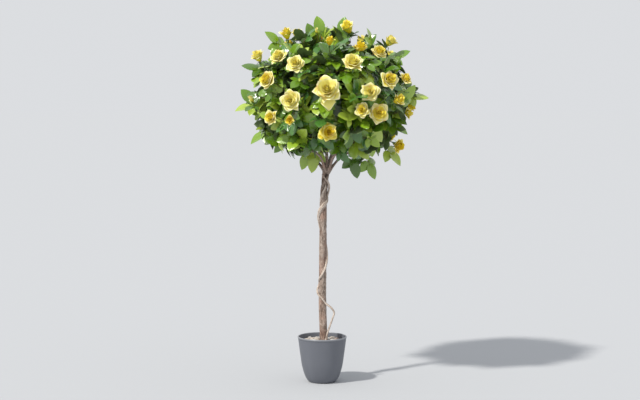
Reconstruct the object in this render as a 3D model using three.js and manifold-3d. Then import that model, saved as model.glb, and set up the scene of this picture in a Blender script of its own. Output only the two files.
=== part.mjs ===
// A standard rose: a round head of yellow roses and glossy leaves on one clear stem,
// with two thinner stems twined round it, standing in a plain grey pot topped with pebbles.
// Millimetres, +Z up. The origin is the middle of the pot's flat underside, and the front is -Y.
import * as THREE from "three";
import { mergeVertices } from "three/addons/utils/BufferGeometryUtils.js";
import { ConvexGeometry } from "three/addons/geometries/ConvexGeometry.js";
import Module from "manifold-3d";

const wasm = await Module();
wasm.setup();

// Clearance between solids that touch on the real plant.
const GAP = 0.35;

// Pot
const POT_HEIGHT = 150;
const POT_RIM_RADIUS = 79.5;
const POT_FOOT_RADIUS = 43;
const POT_WALL = 3;
const POT_FLOOR = 6;
const POT_SIDES = 28;

// Filling and pebbles
const FILL_TOP = 128;
const BED_THICKNESS = 4;
const PEBBLES = 13;
const PEBBLE_RADIUS = 13;
const PEBBLE_FLATNESS = 0.55;

// Trunk
const TRUNK_FOOT = FILL_TOP + GAP;
const FOOT_CUT = 12;
const TRUNK_TOP = 716;
const TRUNK_FOOT_RADIUS = 15;
const TRUNK_LOW_RADIUS = 12.8;
const TRUNK_HIGH_RADIUS = 11.6;
const TRUNK_HEAD_RADIUS = 14;
const FLARE_HEIGHT = 30;
const HEAD_SWELLING = 45;

// Twined stems
const CLIMBER_RADIUS = 3.8;
const CLIMBER_STAND_OFF = 4.2;
const TWINER_RADIUS = 5.6;

// Head of the rose
const HEAD_X = 28;
const HEAD_Z = 930;
const HEAD_HALF_WIDTH = 262;
const HEAD_HALF_HEIGHT = 222;
const SITE_REACH = 0.62;
const UPPER_MASSES = { name: "upper", count: 4, rise: 42, firstTurn: 0 };
const LOWER_MASSES = { name: "lower", count: 6, rise: -20, firstTurn: 90 };
const SPACE_MARGIN = 0.4;

// Leaves and shoots
const LEAFLET_LENGTH = 68;
const LEAFLET_WIDTH = 46;
const LEAFLET_DEPTH = 2.4;
const LEAFLET_DROOP = 1.7;
const WIDEST = 0.42;
const ROOT_LIFT = 0.2;
const ROOT_DEPTH = 0.8;
const SIDE_LEAFLET_SIZE = 0.82;
const LEAF_STALK = 26;
const SIDE_JOINT = 14;
const LEAF_SPAN = LEAF_STALK + LEAFLET_LENGTH;
const SHOOT_RADIUS = 2.2;
const SHOOT_END_RADIUS = 1.5;
const SHOOT_BEND = 0.06;
const SHOOT_STARTS = [0.55, 0.8, 0.35, 0.95, 0.2, 0.05];
const MARK_SPACING = 4;
const STALK_RADIUS = 2;
const STALK_RUN_ON = 20;
const STALK_SWELLING = 7;
const LEAF_REACH = 1.13;
const LIMB_MARGIN = 2.5;
const LEAF_SPACING = 5.5;
const LEAF_TRIES = 160;
const LEAST_AHEAD = 0.05;
const LEAVES_ON = { bloom: 1, tip: 0, leaf: 3 };

// Sprays beside the ones that the front view settles
const GOLDEN_TURN = 0.618034;
const FILL_SPRAYS = 34;
const FILL_TURN = 0.754877666;
const FILL_LEVEL = 0.569840291;
const FILL_REACH = 0.84;
const INNER_REACH = 0.52;
const BACK_BLOOMS = 15;
const BACK_ARC = { first: 98, turn: 164, highest: 74, fall: 112 };
const SIDE_TIPS = 10;
const SIDE_ARC = { turn: 120, lowest: -45, climb: 105, reach: 1.14 };

// The roses that show from the front: turn is degrees round the head from the front towards
// the right, rise is degrees above its middle, reach is a share of the head's half size,
// wide is the flower's width, and looks is the turn and rise that it opens towards.
const FRONT_BLOOMS = [
  { turn: 78, rise: 78, reach: 1.02, wide: 49, looks: [-50, 60], form: "half" },
  { turn: -33, rise: 71, reach: 1, wide: 19, looks: [0, 75], form: "bud" },
  { turn: -85, rise: 59, reach: 1.06, wide: 45, looks: [-30, 70], form: "half" },
  { turn: -2, rise: 52, reach: 1, wide: 33, looks: [0, 75], form: "half" },
  { turn: 86, rise: 48, reach: 1.08, wide: 46, looks: [60, 50], form: "half" },
  { turn: -87, rise: 33, reach: 1.07, wide: 46, looks: [-40, 55], form: "half" },
  { turn: 30, rise: 46, reach: 1, wide: 50, looks: [10, 85], form: "open" },
  { turn: 50, rise: 41, reach: 1, wide: 52, looks: [30, 40], form: "open" },
  { turn: -52, rise: 36, reach: 1, wide: 57, looks: [-30, 45], form: "open" },
  { turn: -29, rise: 29, reach: 1, wide: 58, looks: [-20, 25], form: "open" },
  { turn: 17, rise: 30, reach: 1, wide: 68, looks: [10, 45], form: "open" },
  { turn: -53, rise: 15, reach: 1, wide: 62, looks: [-50, 20], form: "open" },
  { turn: 46, rise: 15, reach: 1, wide: 60, looks: [30, 25], form: "open" },
  { turn: 71, rise: 16, reach: 1, wide: 46, looks: [45, 45], form: "open" },
  { turn: -3, rise: 7, reach: 1, wide: 92, looks: [0, 15], form: "open" },
  { turn: 27, rise: 5, reach: 1, wide: 62, looks: [-10, 12], form: "open" },
  { turn: -29, rise: -2, reach: 1, wide: 66, looks: [-15, 5], form: "open" },
  { turn: -75, rise: -2, reach: 1, wide: 27, looks: [-60, 60], form: "bud" },
  { turn: 53, rise: -2, reach: 1, wide: 42, looks: [50, 25], form: "half" },
  { turn: 35, rise: -12, reach: 1, wide: 68, looks: [10, 5], form: "open" },
  { turn: 22, rise: -10, reach: 0.97, wide: 48, looks: [-20, 10], form: "open" },
  { turn: 77, rise: -13, reach: 1, wide: 42, looks: [80, 5], form: "open" },
  { turn: -49, rise: -16, reach: 1, wide: 50, looks: [-40, 5], form: "open" },
  { turn: -31, rise: -18, reach: 1, wide: 32, looks: [-20, -5], form: "half" },
  { turn: -2, rise: -28, reach: 1, wide: 54, looks: [15, -15], form: "open" },
  { turn: 85, rise: -40, reach: 1.1, wide: 50, looks: [60, -20], form: "open" },
];

// The furthest leaf tips on the head's outline, seen from the front.
const OUTLINE_TIPS = [
  { turn: -90, rise: -8, reach: 1.21 },
  { turn: -90, rise: 25, reach: 1.21 },
  { turn: -90, rise: 50, reach: 1.26 },
  { turn: -90, rise: 75, reach: 1.12 },
  { turn: -90, rise: 82, reach: 1.2 },
  { turn: 90, rise: 82, reach: 1.19 },
  { turn: 90, rise: 59, reach: 1.08 },
  { turn: 90, rise: 36, reach: 1.2 },
  { turn: 90, rise: 1, reach: 1.22 },
  { turn: 90, rise: -28, reach: 1.1 },
  { turn: 90, rise: -48, reach: 1.33 },
  { turn: 90, rise: -64, reach: 1.33 },
  { turn: 80, rise: -74, reach: 1.24 },
  { turn: -80, rise: -77, reach: 1.14 },
  { turn: -100, rise: -70, reach: 1.14 },
  { turn: -90, rise: -47, reach: 1.06 },
  { turn: -90, rise: -33, reach: 1.21 },
];

// Vectors

const UP = new THREE.Vector3(0, 0, 1);
const TIP_UPPER_SIDE = new THREE.Vector3(0, -0.55, 0.8);

function point(x, y, z) {
  return new THREE.Vector3(x, y, z);
}

function heading(turn, rise) {
  const round = THREE.MathUtils.degToRad(turn);
  const up = THREE.MathUtils.degToRad(rise);
  return point(Math.sin(round) * Math.cos(up), -Math.cos(round) * Math.cos(up), Math.sin(up));
}

function onHead(turn, rise, reach) {
  const size = point(HEAD_HALF_WIDTH, HEAD_HALF_WIDTH, HEAD_HALF_HEIGHT);
  return heading(turn, rise).multiply(size).multiplyScalar(reach).add(point(HEAD_X, 0, HEAD_Z));
}

function outwardAt(place) {
  const away = place.clone().sub(point(HEAD_X, 0, HEAD_Z));
  const size = point(HEAD_HALF_WIDTH ** 2, HEAD_HALF_WIDTH ** 2, HEAD_HALF_HEIGHT ** 2);
  return away.divide(size).normalize();
}

// How far out a place lies, as a share of the head's half size in its direction.
function headReach(place) {
  const size = point(HEAD_HALF_WIDTH, HEAD_HALF_WIDTH, HEAD_HALF_HEIGHT);
  return place.clone().sub(point(HEAD_X, 0, HEAD_Z)).divide(size).length();
}

function across(direction, normal) {
  return normal.clone().addScaledVector(direction, -normal.dot(direction)).normalize();
}

// A repeatable stream of numbers from 0 to 1.
function dice(seed) {
  let state = seed >>> 0;
  return () => {
    state = (state + 0x6d2b79f5) >>> 0;
    let mixed = state;
    mixed = Math.imul(mixed ^ (mixed >>> 15), mixed | 1);
    mixed ^= mixed + Math.imul(mixed ^ (mixed >>> 7), mixed | 61);
    return ((mixed ^ (mixed >>> 14)) >>> 0) / 4294967296;
  };
}

// Solids

function solidOf(geometry) {
  const bare = geometry.clone();
  bare.deleteAttribute("normal");
  bare.deleteAttribute("uv");
  const merged = mergeVertices(bare, 1e-4);
  const triVerts = new Uint32Array(merged.index.array);
  const vertProperties = new Float32Array(merged.attributes.position.array);
  return new wasm.Manifold(new wasm.Mesh({ numProp: 3, vertProperties, triVerts }));
}

// The biggest outer body of a solid: loose scraps and the skins of sealed hollows are left out.
function mainBody(solid) {
  const bodies = solid.decompose().filter((body) => body.volume() > 0);
  return bodies.reduce((best, body) => (body.volume() > best.volume() ? body : best));
}

function geometryOf(solid) {
  const mesh = solid.getMesh();
  const geometry = new THREE.BufferGeometry();
  geometry.setAttribute("position", new THREE.BufferAttribute(mesh.vertProperties, 3));
  geometry.setIndex(new THREE.BufferAttribute(mesh.triVerts, 1));
  geometry.computeVertexNormals();
  return geometry;
}

function boxesMeet(one, other) {
  const a = one.boundingBox();
  const b = other.boundingBox();
  return [0, 1, 2].every((i) => a.min[i] <= b.max[i] && b.min[i] <= a.max[i]);
}

function cutClear(solid, cutters) {
  const near = cutters.filter((cutter) => boxesMeet(solid, cutter));
  return near.reduce((left, cutter) => left.subtract(cutter), solid);
}

// Limbs: a closed bar is bent through a row of places, with its own radius at each.

function limbLine(points) {
  return new THREE.CatmullRomCurve3(points, false, "centripetal");
}

function barGeometry(row, radiusAt, sides, pointed = false) {
  const steps = row.length - 1;
  const tangents = row.map((_, i) => {
    const before = row[Math.max(0, i - 1)];
    return row[Math.min(steps, i + 1)].clone().sub(before).normalize();
  });
  const sideways = [across(tangents[0], point(0.31, -0.95, 0.07))];
  for (let i = 1; i <= steps; i += 1) {
    sideways.push(across(tangents[i], sideways[i - 1]));
  }
  const geometry = new THREE.CylinderGeometry(pointed ? 0 : 1, 1, 1, sides, steps);
  const places = geometry.attributes.position;
  for (let i = 0; i < places.count; i += 1) {
    const step = Math.round((places.getY(i) + 0.5) * steps);
    const full = pointed ? 1 - step / steps : 1;
    const scale = full > 0 ? radiusAt(step / steps) / full : 0;
    const binormal = tangents[step].clone().cross(sideways[step]);
    const place = row[step].clone();
    place.addScaledVector(binormal, places.getX(i) * scale);
    place.addScaledVector(sideways[step], places.getZ(i) * scale);
    places.setXYZ(i, place.x, place.y, place.z);
  }
  return geometry;
}

function limbSolid(line, radiusAt, sides, steps) {
  return solidOf(barGeometry(line.getSpacedPoints(steps), radiusAt, sides));
}

function taper(first, last) {
  return (share) => first + (last - first) * share;
}

// Pot, filling and pebbles

function turned(profile) {
  const geometry = new THREE.LatheGeometry(profile, POT_SIDES);
  return geometry.rotateX(Math.PI / 2);
}

function potOutside() {
  return new THREE.SplineCurve([
    new THREE.Vector2(POT_FOOT_RADIUS, 0),
    new THREE.Vector2(51, 9.5),
    new THREE.Vector2(58, 24),
    new THREE.Vector2(66, 52),
    new THREE.Vector2(72.5, 95),
    new THREE.Vector2(POT_RIM_RADIUS, POT_HEIGHT - 3),
  ]);
}

function potInside(clearance) {
  const heights = [POT_FLOOR + clearance, 24, 60];
  return heights.map((height) => new THREE.Vector2(insideRadius(height) - clearance, height));
}

function heightShare(line, height) {
  let low = 0;
  let high = 1;
  for (let i = 0; i < 30; i += 1) {
    const middle = (low + high) / 2;
    if (line.getPoint(middle).y < height) {
      low = middle;
    } else {
      high = middle;
    }
  }
  return (low + high) / 2;
}

function insideRadius(height) {
  const line = potOutside();
  return line.getPoint(heightShare(line, height)).x - POT_WALL;
}

function potGeometry() {
  const inside = potInside(0).reverse();
  const profile = [
    new THREE.Vector2(0, 0),
    ...potOutside().getPoints(7),
    new THREE.Vector2(POT_RIM_RADIUS + 0.3, POT_HEIGHT - 1),
    new THREE.Vector2(POT_RIM_RADIUS - 1, POT_HEIGHT),
    new THREE.Vector2(POT_RIM_RADIUS - POT_WALL, POT_HEIGHT - 1),
    new THREE.Vector2(insideRadius(FILL_TOP), FILL_TOP),
    ...inside,
    new THREE.Vector2(0, POT_FLOOR),
  ];
  return turned(profile);
}

function fillGeometry() {
  const profile = [
    new THREE.Vector2(0, POT_FLOOR + GAP),
    ...potInside(GAP),
    new THREE.Vector2(insideRadius(FILL_TOP) - GAP, FILL_TOP),
    new THREE.Vector2(0, FILL_TOP),
  ];
  return turned(profile);
}

function pebbleBed(cutters) {
  const bedRadius = insideRadius(FILL_TOP) - GAP - 0.5;
  const disc = new THREE.CylinderGeometry(bedRadius, bedRadius, BED_THICKNESS, POT_SIDES);
  disc.rotateX(Math.PI / 2);
  disc.translate(0, 0, FILL_TOP + GAP + BED_THICKNESS / 2);
  let bed = solidOf(disc);
  const roll = dice(7);
  for (let i = 0; i < PEBBLES; i += 1) {
    const size = PEBBLE_RADIUS * (0.75 + 0.35 * roll());
    const reach = (bedRadius - PEBBLE_RADIUS * 1.15) * Math.sqrt((i + 0.6) / PEBBLES);
    const pebble = new THREE.IcosahedronGeometry(size);
    pebble.scale(1, 0.8, PEBBLE_FLATNESS);
    pebble.rotateZ(roll() * Math.PI);
    pebble.translate(reach, 0, FILL_TOP + GAP + 1 + size * PEBBLE_FLATNESS);
    pebble.rotateZ(i * 2.39996);
    bed = bed.add(solidOf(pebble));
  }
  return mainBody(cutClear(bed, cutters));
}

// Trunk and the two stems twined round it. A stem is made a little too long at its foot, and cut
// level just above the filling.

function cutLevel(solid) {
  const below = new THREE.CylinderGeometry(60, 60, 2 * FOOT_CUT, 24);
  below.rotateX(Math.PI / 2);
  below.translate(0, 0, TRUNK_FOOT - FOOT_CUT);
  return solid.subtract(solidOf(below));
}

const trunkLine = limbLine([
  point(5.4, 0, TRUNK_FOOT - FOOT_CUT / 2),
  point(2, 0, 222),
  point(0.5, 0, 300),
  point(2, 0, 400),
  point(3, 0, 492),
  point(3, 0, 567),
  point(6, 0, 625),
  point(11, 0, 681),
  point(15, 0, TRUNK_TOP),
]);

function trunkHeight(share) {
  const lowest = TRUNK_FOOT - FOOT_CUT / 2;
  return lowest + (TRUNK_TOP - lowest) * share;
}

function trunkRadius(share) {
  const height = trunkHeight(share);
  const plain = TRUNK_LOW_RADIUS + (TRUNK_HIGH_RADIUS - TRUNK_LOW_RADIUS) * share;
  const flare = Math.max(0, 1 - (height - TRUNK_FOOT) / FLARE_HEIGHT) ** 2;
  const swelling = Math.max(0, 1 - (TRUNK_TOP - height) / HEAD_SWELLING);
  const foot = (TRUNK_FOOT_RADIUS - TRUNK_LOW_RADIUS) * flare;
  return plain + foot + (TRUNK_HEAD_RADIUS - TRUNK_HIGH_RADIUS) * swelling;
}

function trunkSolid(extra) {
  return cutLevel(limbSolid(trunkLine, (share) => trunkRadius(share) + extra, 12, 14));
}

// A place beside the trunk: turn degrees round it from the front towards the right.
function besideTrunk(turn, height, standOff) {
  const share = (height - trunkHeight(0)) / (TRUNK_TOP - trunkHeight(0));
  const middle = trunkLine.getPointAt(share);
  return heading(turn, 0).multiplyScalar(trunkRadius(share) + standOff).add(middle);
}

// The climber leaves the pebbles in front, bows out to the right, bends back to the trunk,
// crosses its front to the left, climbs its back over the twiner, and crosses its front again
// under the head.
const climberLine = limbLine([
  point(7, -20, TRUNK_FOOT - FOOT_CUT / 2),
  point(18, -19.5, 165),
  point(34, -18, 212),
  point(39, -17.5, 229),
  point(30, -18, 245),
  besideTrunk(35, 260, CLIMBER_STAND_OFF + 1),
  besideTrunk(0, 275, CLIMBER_STAND_OFF),
  besideTrunk(-50, 288, CLIMBER_STAND_OFF),
  besideTrunk(-100, 301, CLIMBER_STAND_OFF),
  besideTrunk(-150, 328, CLIMBER_STAND_OFF),
  besideTrunk(-180, 380, CLIMBER_STAND_OFF),
  besideTrunk(-187, 440, CLIMBER_STAND_OFF + 3),
  besideTrunk(-190, 478, CLIMBER_STAND_OFF + 8),
  besideTrunk(-192, 516, CLIMBER_STAND_OFF + 3),
  besideTrunk(-200, 570, CLIMBER_STAND_OFF),
  besideTrunk(-225, 608, CLIMBER_STAND_OFF),
  besideTrunk(-260, 634, CLIMBER_STAND_OFF),
  besideTrunk(-310, 652, CLIMBER_STAND_OFF),
  besideTrunk(-360, 667, CLIMBER_STAND_OFF),
  besideTrunk(-405, 680, CLIMBER_STAND_OFF),
]);

// The twiner comes round from the left and winds up to the right, once and a half round.
const twinerLine = limbLine([
  besideTrunk(-95, 326, -1),
  besideTrunk(-45, 340, 1.5),
  besideTrunk(0, 357, 1.5),
  besideTrunk(45, 380, 1.5),
  besideTrunk(90, 412, 1.5),
  besideTrunk(135, 445, 1.5),
  besideTrunk(180, 478, 1.5),
  besideTrunk(225, 512, 1.5),
  besideTrunk(270, 544, 1.5),
  besideTrunk(315, 564, 1.5),
  besideTrunk(360, 579, 1.5),
  besideTrunk(405, 592, 1.5),
  besideTrunk(450, 606, 0),
  besideTrunk(478, 614, -1.5),
]);

function climberRadius(share) {
  return CLIMBER_RADIUS * (1 - 0.25 * share);
}

function twinerRadius(share) {
  const ends = Math.min(1, 0.5 + share * 8, 0.5 + (1 - share) * 8);
  return TWINER_RADIUS * (1 - 0.15 * share) * ends;
}

function climberSolid(extra) {
  return cutLevel(limbSolid(climberLine, (share) => climberRadius(share) + extra, 5, 38));
}

function twinerSolid(extra) {
  return limbSolid(twinerLine, (share) => twinerRadius(share) + extra, 5, 24);
}

// Masses of foliage and the boughs that carry them

function massList() {
  const masses = [{ name: "top", kind: "top", turn: 0, site: onHead(0, 90, SITE_REACH) }];
  for (const ring of [UPPER_MASSES, LOWER_MASSES]) {
    for (let i = 0; i < ring.count; i += 1) {
      const turn = ring.firstTurn + (360 / ring.count) * i;
      const site = onHead(turn, ring.rise, SITE_REACH);
      masses.push({ name: `${ring.name}_${i + 1}`, kind: ring.name, turn, site });
    }
  }
  return masses;
}

// Distance from the trunk's axis and height of each kind of bough, up to its tip.
const BOUGH_RISE = {
  top: [[0, 704], [3, 770], [-5, 850], [2, 935]],
  upper: [[6, 704], [11, 730], [34, 800], [76, 890], [104, 948]],
  lower: [[4, 684], [24, 713], [52, 741], [108, 764]],
};
const BOUGH_RADII = { top: [4.4, 3.2], upper: [4.2, 2.8], lower: [4.5, 3] };

function boughPoints(mass) {
  return BOUGH_RISE[mass.kind].map(([reach, height], i) => {
    const sway = 5 * Math.sin(i * 2.1 + mass.turn);
    const place = heading(mass.turn, 0).multiplyScalar(reach);
    place.addScaledVector(heading(mass.turn + 90, 0), i > 1 ? sway : 0);
    return place.add(point(15, 0, height));
  });
}

function stemPoints(mass) {
  const bough = boughPoints(mass);
  const tip = bough[bough.length - 1];
  const direction = limbLine(bough).getTangentAt(1);
  const start = tip.clone().addScaledVector(direction, GAP);
  const bend = start.clone().addScaledVector(direction, 30);
  return [start, bend, mass.site.clone()];
}

function boughSolid(mass, extra) {
  const radii = BOUGH_RADII[mass.kind];
  const line = limbLine(boughPoints(mass));
  const steps = mass.kind === "lower" ? 4 : 6;
  return limbSolid(line, taper(radii[0] + extra, radii[1] + extra), 5, steps);
}

// Points along a line with the limb's radius there, for keeping leaves off it.
function limbMarks(line, radiusAt) {
  const marks = [];
  const count = Math.ceil(line.getLength() / MARK_SPACING);
  for (let i = 0; i <= count; i += 1) {
    marks.push({ place: line.getPointAt(i / count), radius: radiusAt(i / count) });
  }
  return marks;
}

// Sprays: every place on the head where a shoot ends, in a rose, a reaching leaf or plain leaves.

function bloomSprays() {
  const sprays = FRONT_BLOOMS.map((bloom) => ({
    kind: "bloom",
    place: onHead(bloom.turn, bloom.rise, bloom.reach),
    face: heading(...bloom.looks),
    wide: bloom.wide,
    form: bloom.form,
  }));
  const roll = dice(41);
  for (let i = 0; i < BACK_BLOOMS; i += 1) {
    const turn = BACK_ARC.first + BACK_ARC.turn * ((0.35 + i * GOLDEN_TURN) % 1);
    const rise = BACK_ARC.highest - BACK_ARC.fall * ((i + 0.5) / BACK_BLOOMS);
    const wide = 40 + 30 * roll();
    const face = heading(turn + 40 * roll() - 20, rise * 0.6 + 15);
    const form = wide < 48 ? "half" : "open";
    sprays.push({ kind: "bloom", place: onHead(turn, rise, 1), face, wide, form });
  }
  return sprays;
}

// A spray whose last leaf points straight out from the head's middle and ends at a tip.
function tipSpray(turn, rise, reach) {
  const tip = onHead(turn, rise, reach);
  const axis = tip.clone().sub(point(HEAD_X, 0, HEAD_Z)).normalize();
  const normal = across(axis, TIP_UPPER_SIDE);
  return { kind: "tip", place: tip.addScaledVector(axis, -LEAF_SPAN), axis, normal };
}

function tipSprays() {
  const sprays = OUTLINE_TIPS.map((tip) => tipSpray(tip.turn, tip.rise, tip.reach));
  for (let i = 0; i < SIDE_TIPS; i += 1) {
    const side = i % 2 ? 180 : 0;
    const turn = side + SIDE_ARC.turn * (((0.2 + i * GOLDEN_TURN) % 1) - 0.5);
    const rise = SIDE_ARC.lowest + SIDE_ARC.climb * ((i + 0.5) / SIDE_TIPS);
    sprays.push(tipSpray(turn, rise, SIDE_ARC.reach));
  }
  return sprays;
}

function leafSprays() {
  const sprays = [];
  for (let i = 0; i < FILL_SPRAYS; i += 1) {
    const turn = 360 * ((0.5 + i * FILL_TURN) % 1);
    const level = 1.9 * ((0.5 + i * FILL_LEVEL) % 1) - 0.93;
    const rise = THREE.MathUtils.radToDeg(Math.asin(level));
    const reach = i % 3 === 2 ? INNER_REACH : FILL_REACH;
    sprays.push({ kind: "leaf", place: onHead(turn, rise, reach) });
  }
  return sprays;
}

// The middle of what a spray carries, which settles the mass that it belongs to.
function sprayMiddle(spray) {
  const middle = spray.place.clone();
  return spray.axis ? middle.addScaledVector(spray.axis, LEAF_SPAN / 2) : middle;
}

function nearestMass(masses, place) {
  const distance = (mass) => mass.site.distanceTo(place);
  return masses.reduce((best, mass) => (distance(mass) < distance(best) ? mass : best));
}

// Leaves: a stalk with a leaflet on each side and one at its end.

function leafAt(foot, outward, turn, lift) {
  const level = across(outward, UP);
  const beside = outward.clone().cross(level);
  const axis = level.multiplyScalar(Math.cos(turn)).addScaledVector(beside, Math.sin(turn));
  axis.addScaledVector(outward, lift).addScaledVector(UP, -0.12).normalize();
  const upper = outward.clone().addScaledVector(UP, 0.35);
  return { foot, axis, normal: across(axis, upper) };
}

function leafletsOf(leaf) {
  const { foot, axis, normal } = leaf;
  const beside = axis.clone().cross(normal);
  const end = foot.clone().addScaledVector(axis, LEAF_STALK);
  const joint = foot.clone().addScaledVector(axis, SIDE_JOINT);
  const leaflets = [{ root: end, axis, normal, size: 1 }];
  for (const side of [-1, 1]) {
    const aside = axis.clone().multiplyScalar(0.25).addScaledVector(beside, side * 0.97);
    const root = joint.clone().addScaledVector(aside, -ROOT_DEPTH);
    leaflets.push({ root, axis: aside, normal, size: SIDE_LEAFLET_SIZE });
  }
  return leaflets;
}

// A place on a leaflet: ahead is the share of its length, side runs from -1 to 1 at its widest.
function onLeaflet(leaflet, ahead, side) {
  const beside = leaflet.normal.clone().cross(leaflet.axis);
  const lift = ROOT_LIFT + Math.abs(side) * LEAFLET_DEPTH - ahead * LEAFLET_DROOP;
  const place = leaflet.root.clone();
  place.addScaledVector(leaflet.axis, ahead * LEAFLET_LENGTH * leaflet.size);
  place.addScaledVector(beside, (side * LEAFLET_WIDTH * leaflet.size) / 2);
  return place.addScaledVector(leaflet.normal, lift);
}

// A folded blade: its rib is the straight edge from root to tip, below its two raised sides.
function leafletGeometry(leaflet) {
  return new ConvexGeometry([
    onLeaflet(leaflet, 0, 0),
    onLeaflet(leaflet, 1, 0),
    onLeaflet(leaflet, WIDEST, -1),
    onLeaflet(leaflet, WIDEST, 1),
  ]);
}

function leafletMarks(leaflet) {
  const marks = [];
  for (const ahead of [0.05, 0.16, 0.29, WIDEST, 0.56, 0.7, 0.84, 1]) {
    const half = ahead < WIDEST ? ahead / WIDEST : (1 - ahead) / (1 - WIDEST);
    for (const share of [-1, -0.5, 0, 0.5, 1]) {
      marks.push(onLeaflet(leaflet, ahead, share * half));
    }
  }
  return marks;
}

// A pointed stalk that swells just outside its shoot and thins towards its end.
function stalkGeometry(leaf) {
  const end = leaf.foot.clone().addScaledVector(leaf.axis, LEAF_STALK + STALK_RUN_ON);
  const swelling = leaf.foot.clone().addScaledVector(leaf.axis, STALK_SWELLING);
  const stalk = new THREE.SphereGeometry(1, 3, 2);
  const places = stalk.attributes.position;
  const beside = leaf.normal.clone().cross(leaf.axis);
  for (let i = 0; i < places.count; i += 1) {
    const row = Math.round(places.getY(i));
    const middle = [leaf.foot, swelling, end][row + 1].clone();
    if (row === 0) {
      middle.addScaledVector(beside, places.getX(i) * STALK_RADIUS);
      middle.addScaledVector(leaf.normal, -places.getZ(i) * STALK_RADIUS);
    }
    places.setXYZ(i, middle.x, middle.y, middle.z);
  }
  return stalk;
}

// Roses: each is one closed bowl of petals, ruffled where it is widest.

const BLOOM_SEAT = 0.38;
const BLOOM_REACH = 0.62;
const BLOOM_FORMS = {
  open: {
    columns: 7,
    ruffle: 0.08,
    rows: [[0, 0.22], [0.33, 0.2], [0.5, -0.05], [0.26, -0.3], [0, -0.44]],
  },
  half: {
    columns: 7,
    ruffle: 0.05,
    rows: [[0, 0.42], [0.48, 0.3], [0.42, -0.25], [0, -0.5]],
  },
  bud: {
    columns: 5,
    ruffle: 0,
    rows: [[0, 0.8], [0.45, 0.1], [0.4, -0.4], [0, -0.6]],
  },
};

function bloomGeometry(spray) {
  const { columns, ruffle, rows } = BLOOM_FORMS[spray.form];
  const bands = rows.length - 1;
  const geometry = new THREE.SphereGeometry(1, columns, bands);
  const places = geometry.attributes.position;
  const third = across(spray.face, point(0.2, 0.1, 1));
  const beside = spray.face.clone().cross(third);
  for (let i = 0; i < places.count; i += 1) {
    const slope = Math.acos(THREE.MathUtils.clamp(places.getY(i), -1, 1));
    const [reach, height] = rows[Math.round((slope / Math.PI) * bands)];
    const round = Math.atan2(places.getZ(i), places.getX(i));
    const column = Math.round((round / (2 * Math.PI)) * columns + columns) % columns;
    const wave = (column % 2 ? ruffle : -ruffle) * (reach > 0.45 ? 1 : 0);
    const place = spray.place.clone();
    place.addScaledVector(beside, (reach + wave) * spray.wide * Math.cos(round));
    place.addScaledVector(third, (reach + wave) * spray.wide * Math.sin(round));
    place.addScaledVector(spray.face, (height - wave) * spray.wide);
    places.setXYZ(i, place.x, place.y, place.z);
  }
  return geometry;
}

function bloomReach(bloom) {
  return BLOOM_REACH * bloom.wide;
}

// Growth: a mass keeps to its own space, which ends half way to the other masses' sites,
// round their roses, and at every limb.

function spaceOf(mass, masses, sprays, limbs) {
  const walls = masses
    .filter((other) => other !== mass)
    .map((other) => ({
      middle: other.site.clone().add(mass.site).multiplyScalar(0.5),
      inward: mass.site.clone().sub(other.site).normalize(),
    }));
  const roses = sprays.filter((spray) => spray.kind === "bloom");
  const foreign = roses.filter((rose) => rose.mass !== mass);
  const insideWalls = (place) =>
    walls.every((wall) => place.clone().sub(wall.middle).dot(wall.inward) >= SPACE_MARGIN);
  const clearOfRoses = (place) =>
    foreign.every((bloom) => bloom.place.distanceTo(place) > bloomReach(bloom) + 2);
  const clearOfLimbs = (place, reach) =>
    limbs.every((mark) => mark.place.distanceTo(place) > mark.radius + reach);
  return { insideWalls, clearOfRoses, clearOfLimbs, roses, taken: [] };
}

// Whether a place lies in the clear cone in front of a rose.
function beforeRose(place, bloom) {
  const away = place.clone().sub(bloom.place);
  const ahead = away.dot(bloom.face);
  const aside = away.addScaledVector(bloom.face, -ahead).length();
  return ahead > -0.1 * bloom.wide && ahead < 1.3 * bloom.wide && aside < 0.5 * bloom.wide;
}

// The places that a shoot runs through: from the stem to its rose, or on into its end leaf.
function shootRow(stem, share, spray, endLeaf) {
  const start = stem.getPointAt(share);
  const end = spray.place.clone();
  if (spray.kind === "bloom") {
    end.addScaledVector(spray.face, -BLOOM_SEAT * spray.wide);
  }
  const bend = start.clone().lerp(end, 0.5);
  bend.addScaledVector(stem.getTangentAt(share), SHOOT_BEND * start.distanceTo(end));
  const row = [start, bend, end];
  if (endLeaf) {
    row.push(end.clone().addScaledVector(endLeaf.axis, LEAF_STALK + STALK_RUN_ON));
  }
  return row;
}

function rowMarks(row) {
  const marks = [];
  for (let i = 1; i < row.length; i += 1) {
    const stretch = new THREE.LineCurve3(row[i - 1], row[i]);
    marks.push(...stretch.getSpacedPoints(Math.ceil(stretch.getLength() / MARK_SPACING)));
  }
  return marks;
}

function growRow(spray, endLeaf, stem, space) {
  for (const share of SHOOT_STARTS) {
    const row = shootRow(stem, share, spray, endLeaf);
    const fits = rowMarks(row).every((place) => {
      const inRose = spray.kind === "bloom" && spray.place.distanceTo(place) < bloomReach(spray);
      const inSpace = inRose || (space.insideWalls(place) && space.clearOfRoses(place));
      return inSpace && space.clearOfLimbs(place, SHOOT_RADIUS + 0.6);
    });
    if (fits) {
      return row;
    }
  }
  return null;
}

function inSpace(leaflet, space) {
  return leafletMarks(leaflet).every((place) => {
    const ownSide = space.insideWalls(place) && space.clearOfRoses(place);
    return ownSide && space.clearOfLimbs(place, LIMB_MARGIN);
  });
}

// Whether a leaflet hides no rose, stays in the head and crosses nothing that has grown.
function inTheOpen(leaflet, foot, space) {
  const others = space.taken.filter((mark) => mark.distanceTo(foot) >= LEAF_STALK);
  return leafletMarks(leaflet).every((place) => {
    const hidesRose = space.roses.some((bloom) => beforeRose(place, bloom));
    const clear = others.every((mark) => mark.distanceTo(place) > LEAF_SPACING);
    return headReach(place) < LEAF_REACH && !hidesRose && clear;
  });
}

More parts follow.
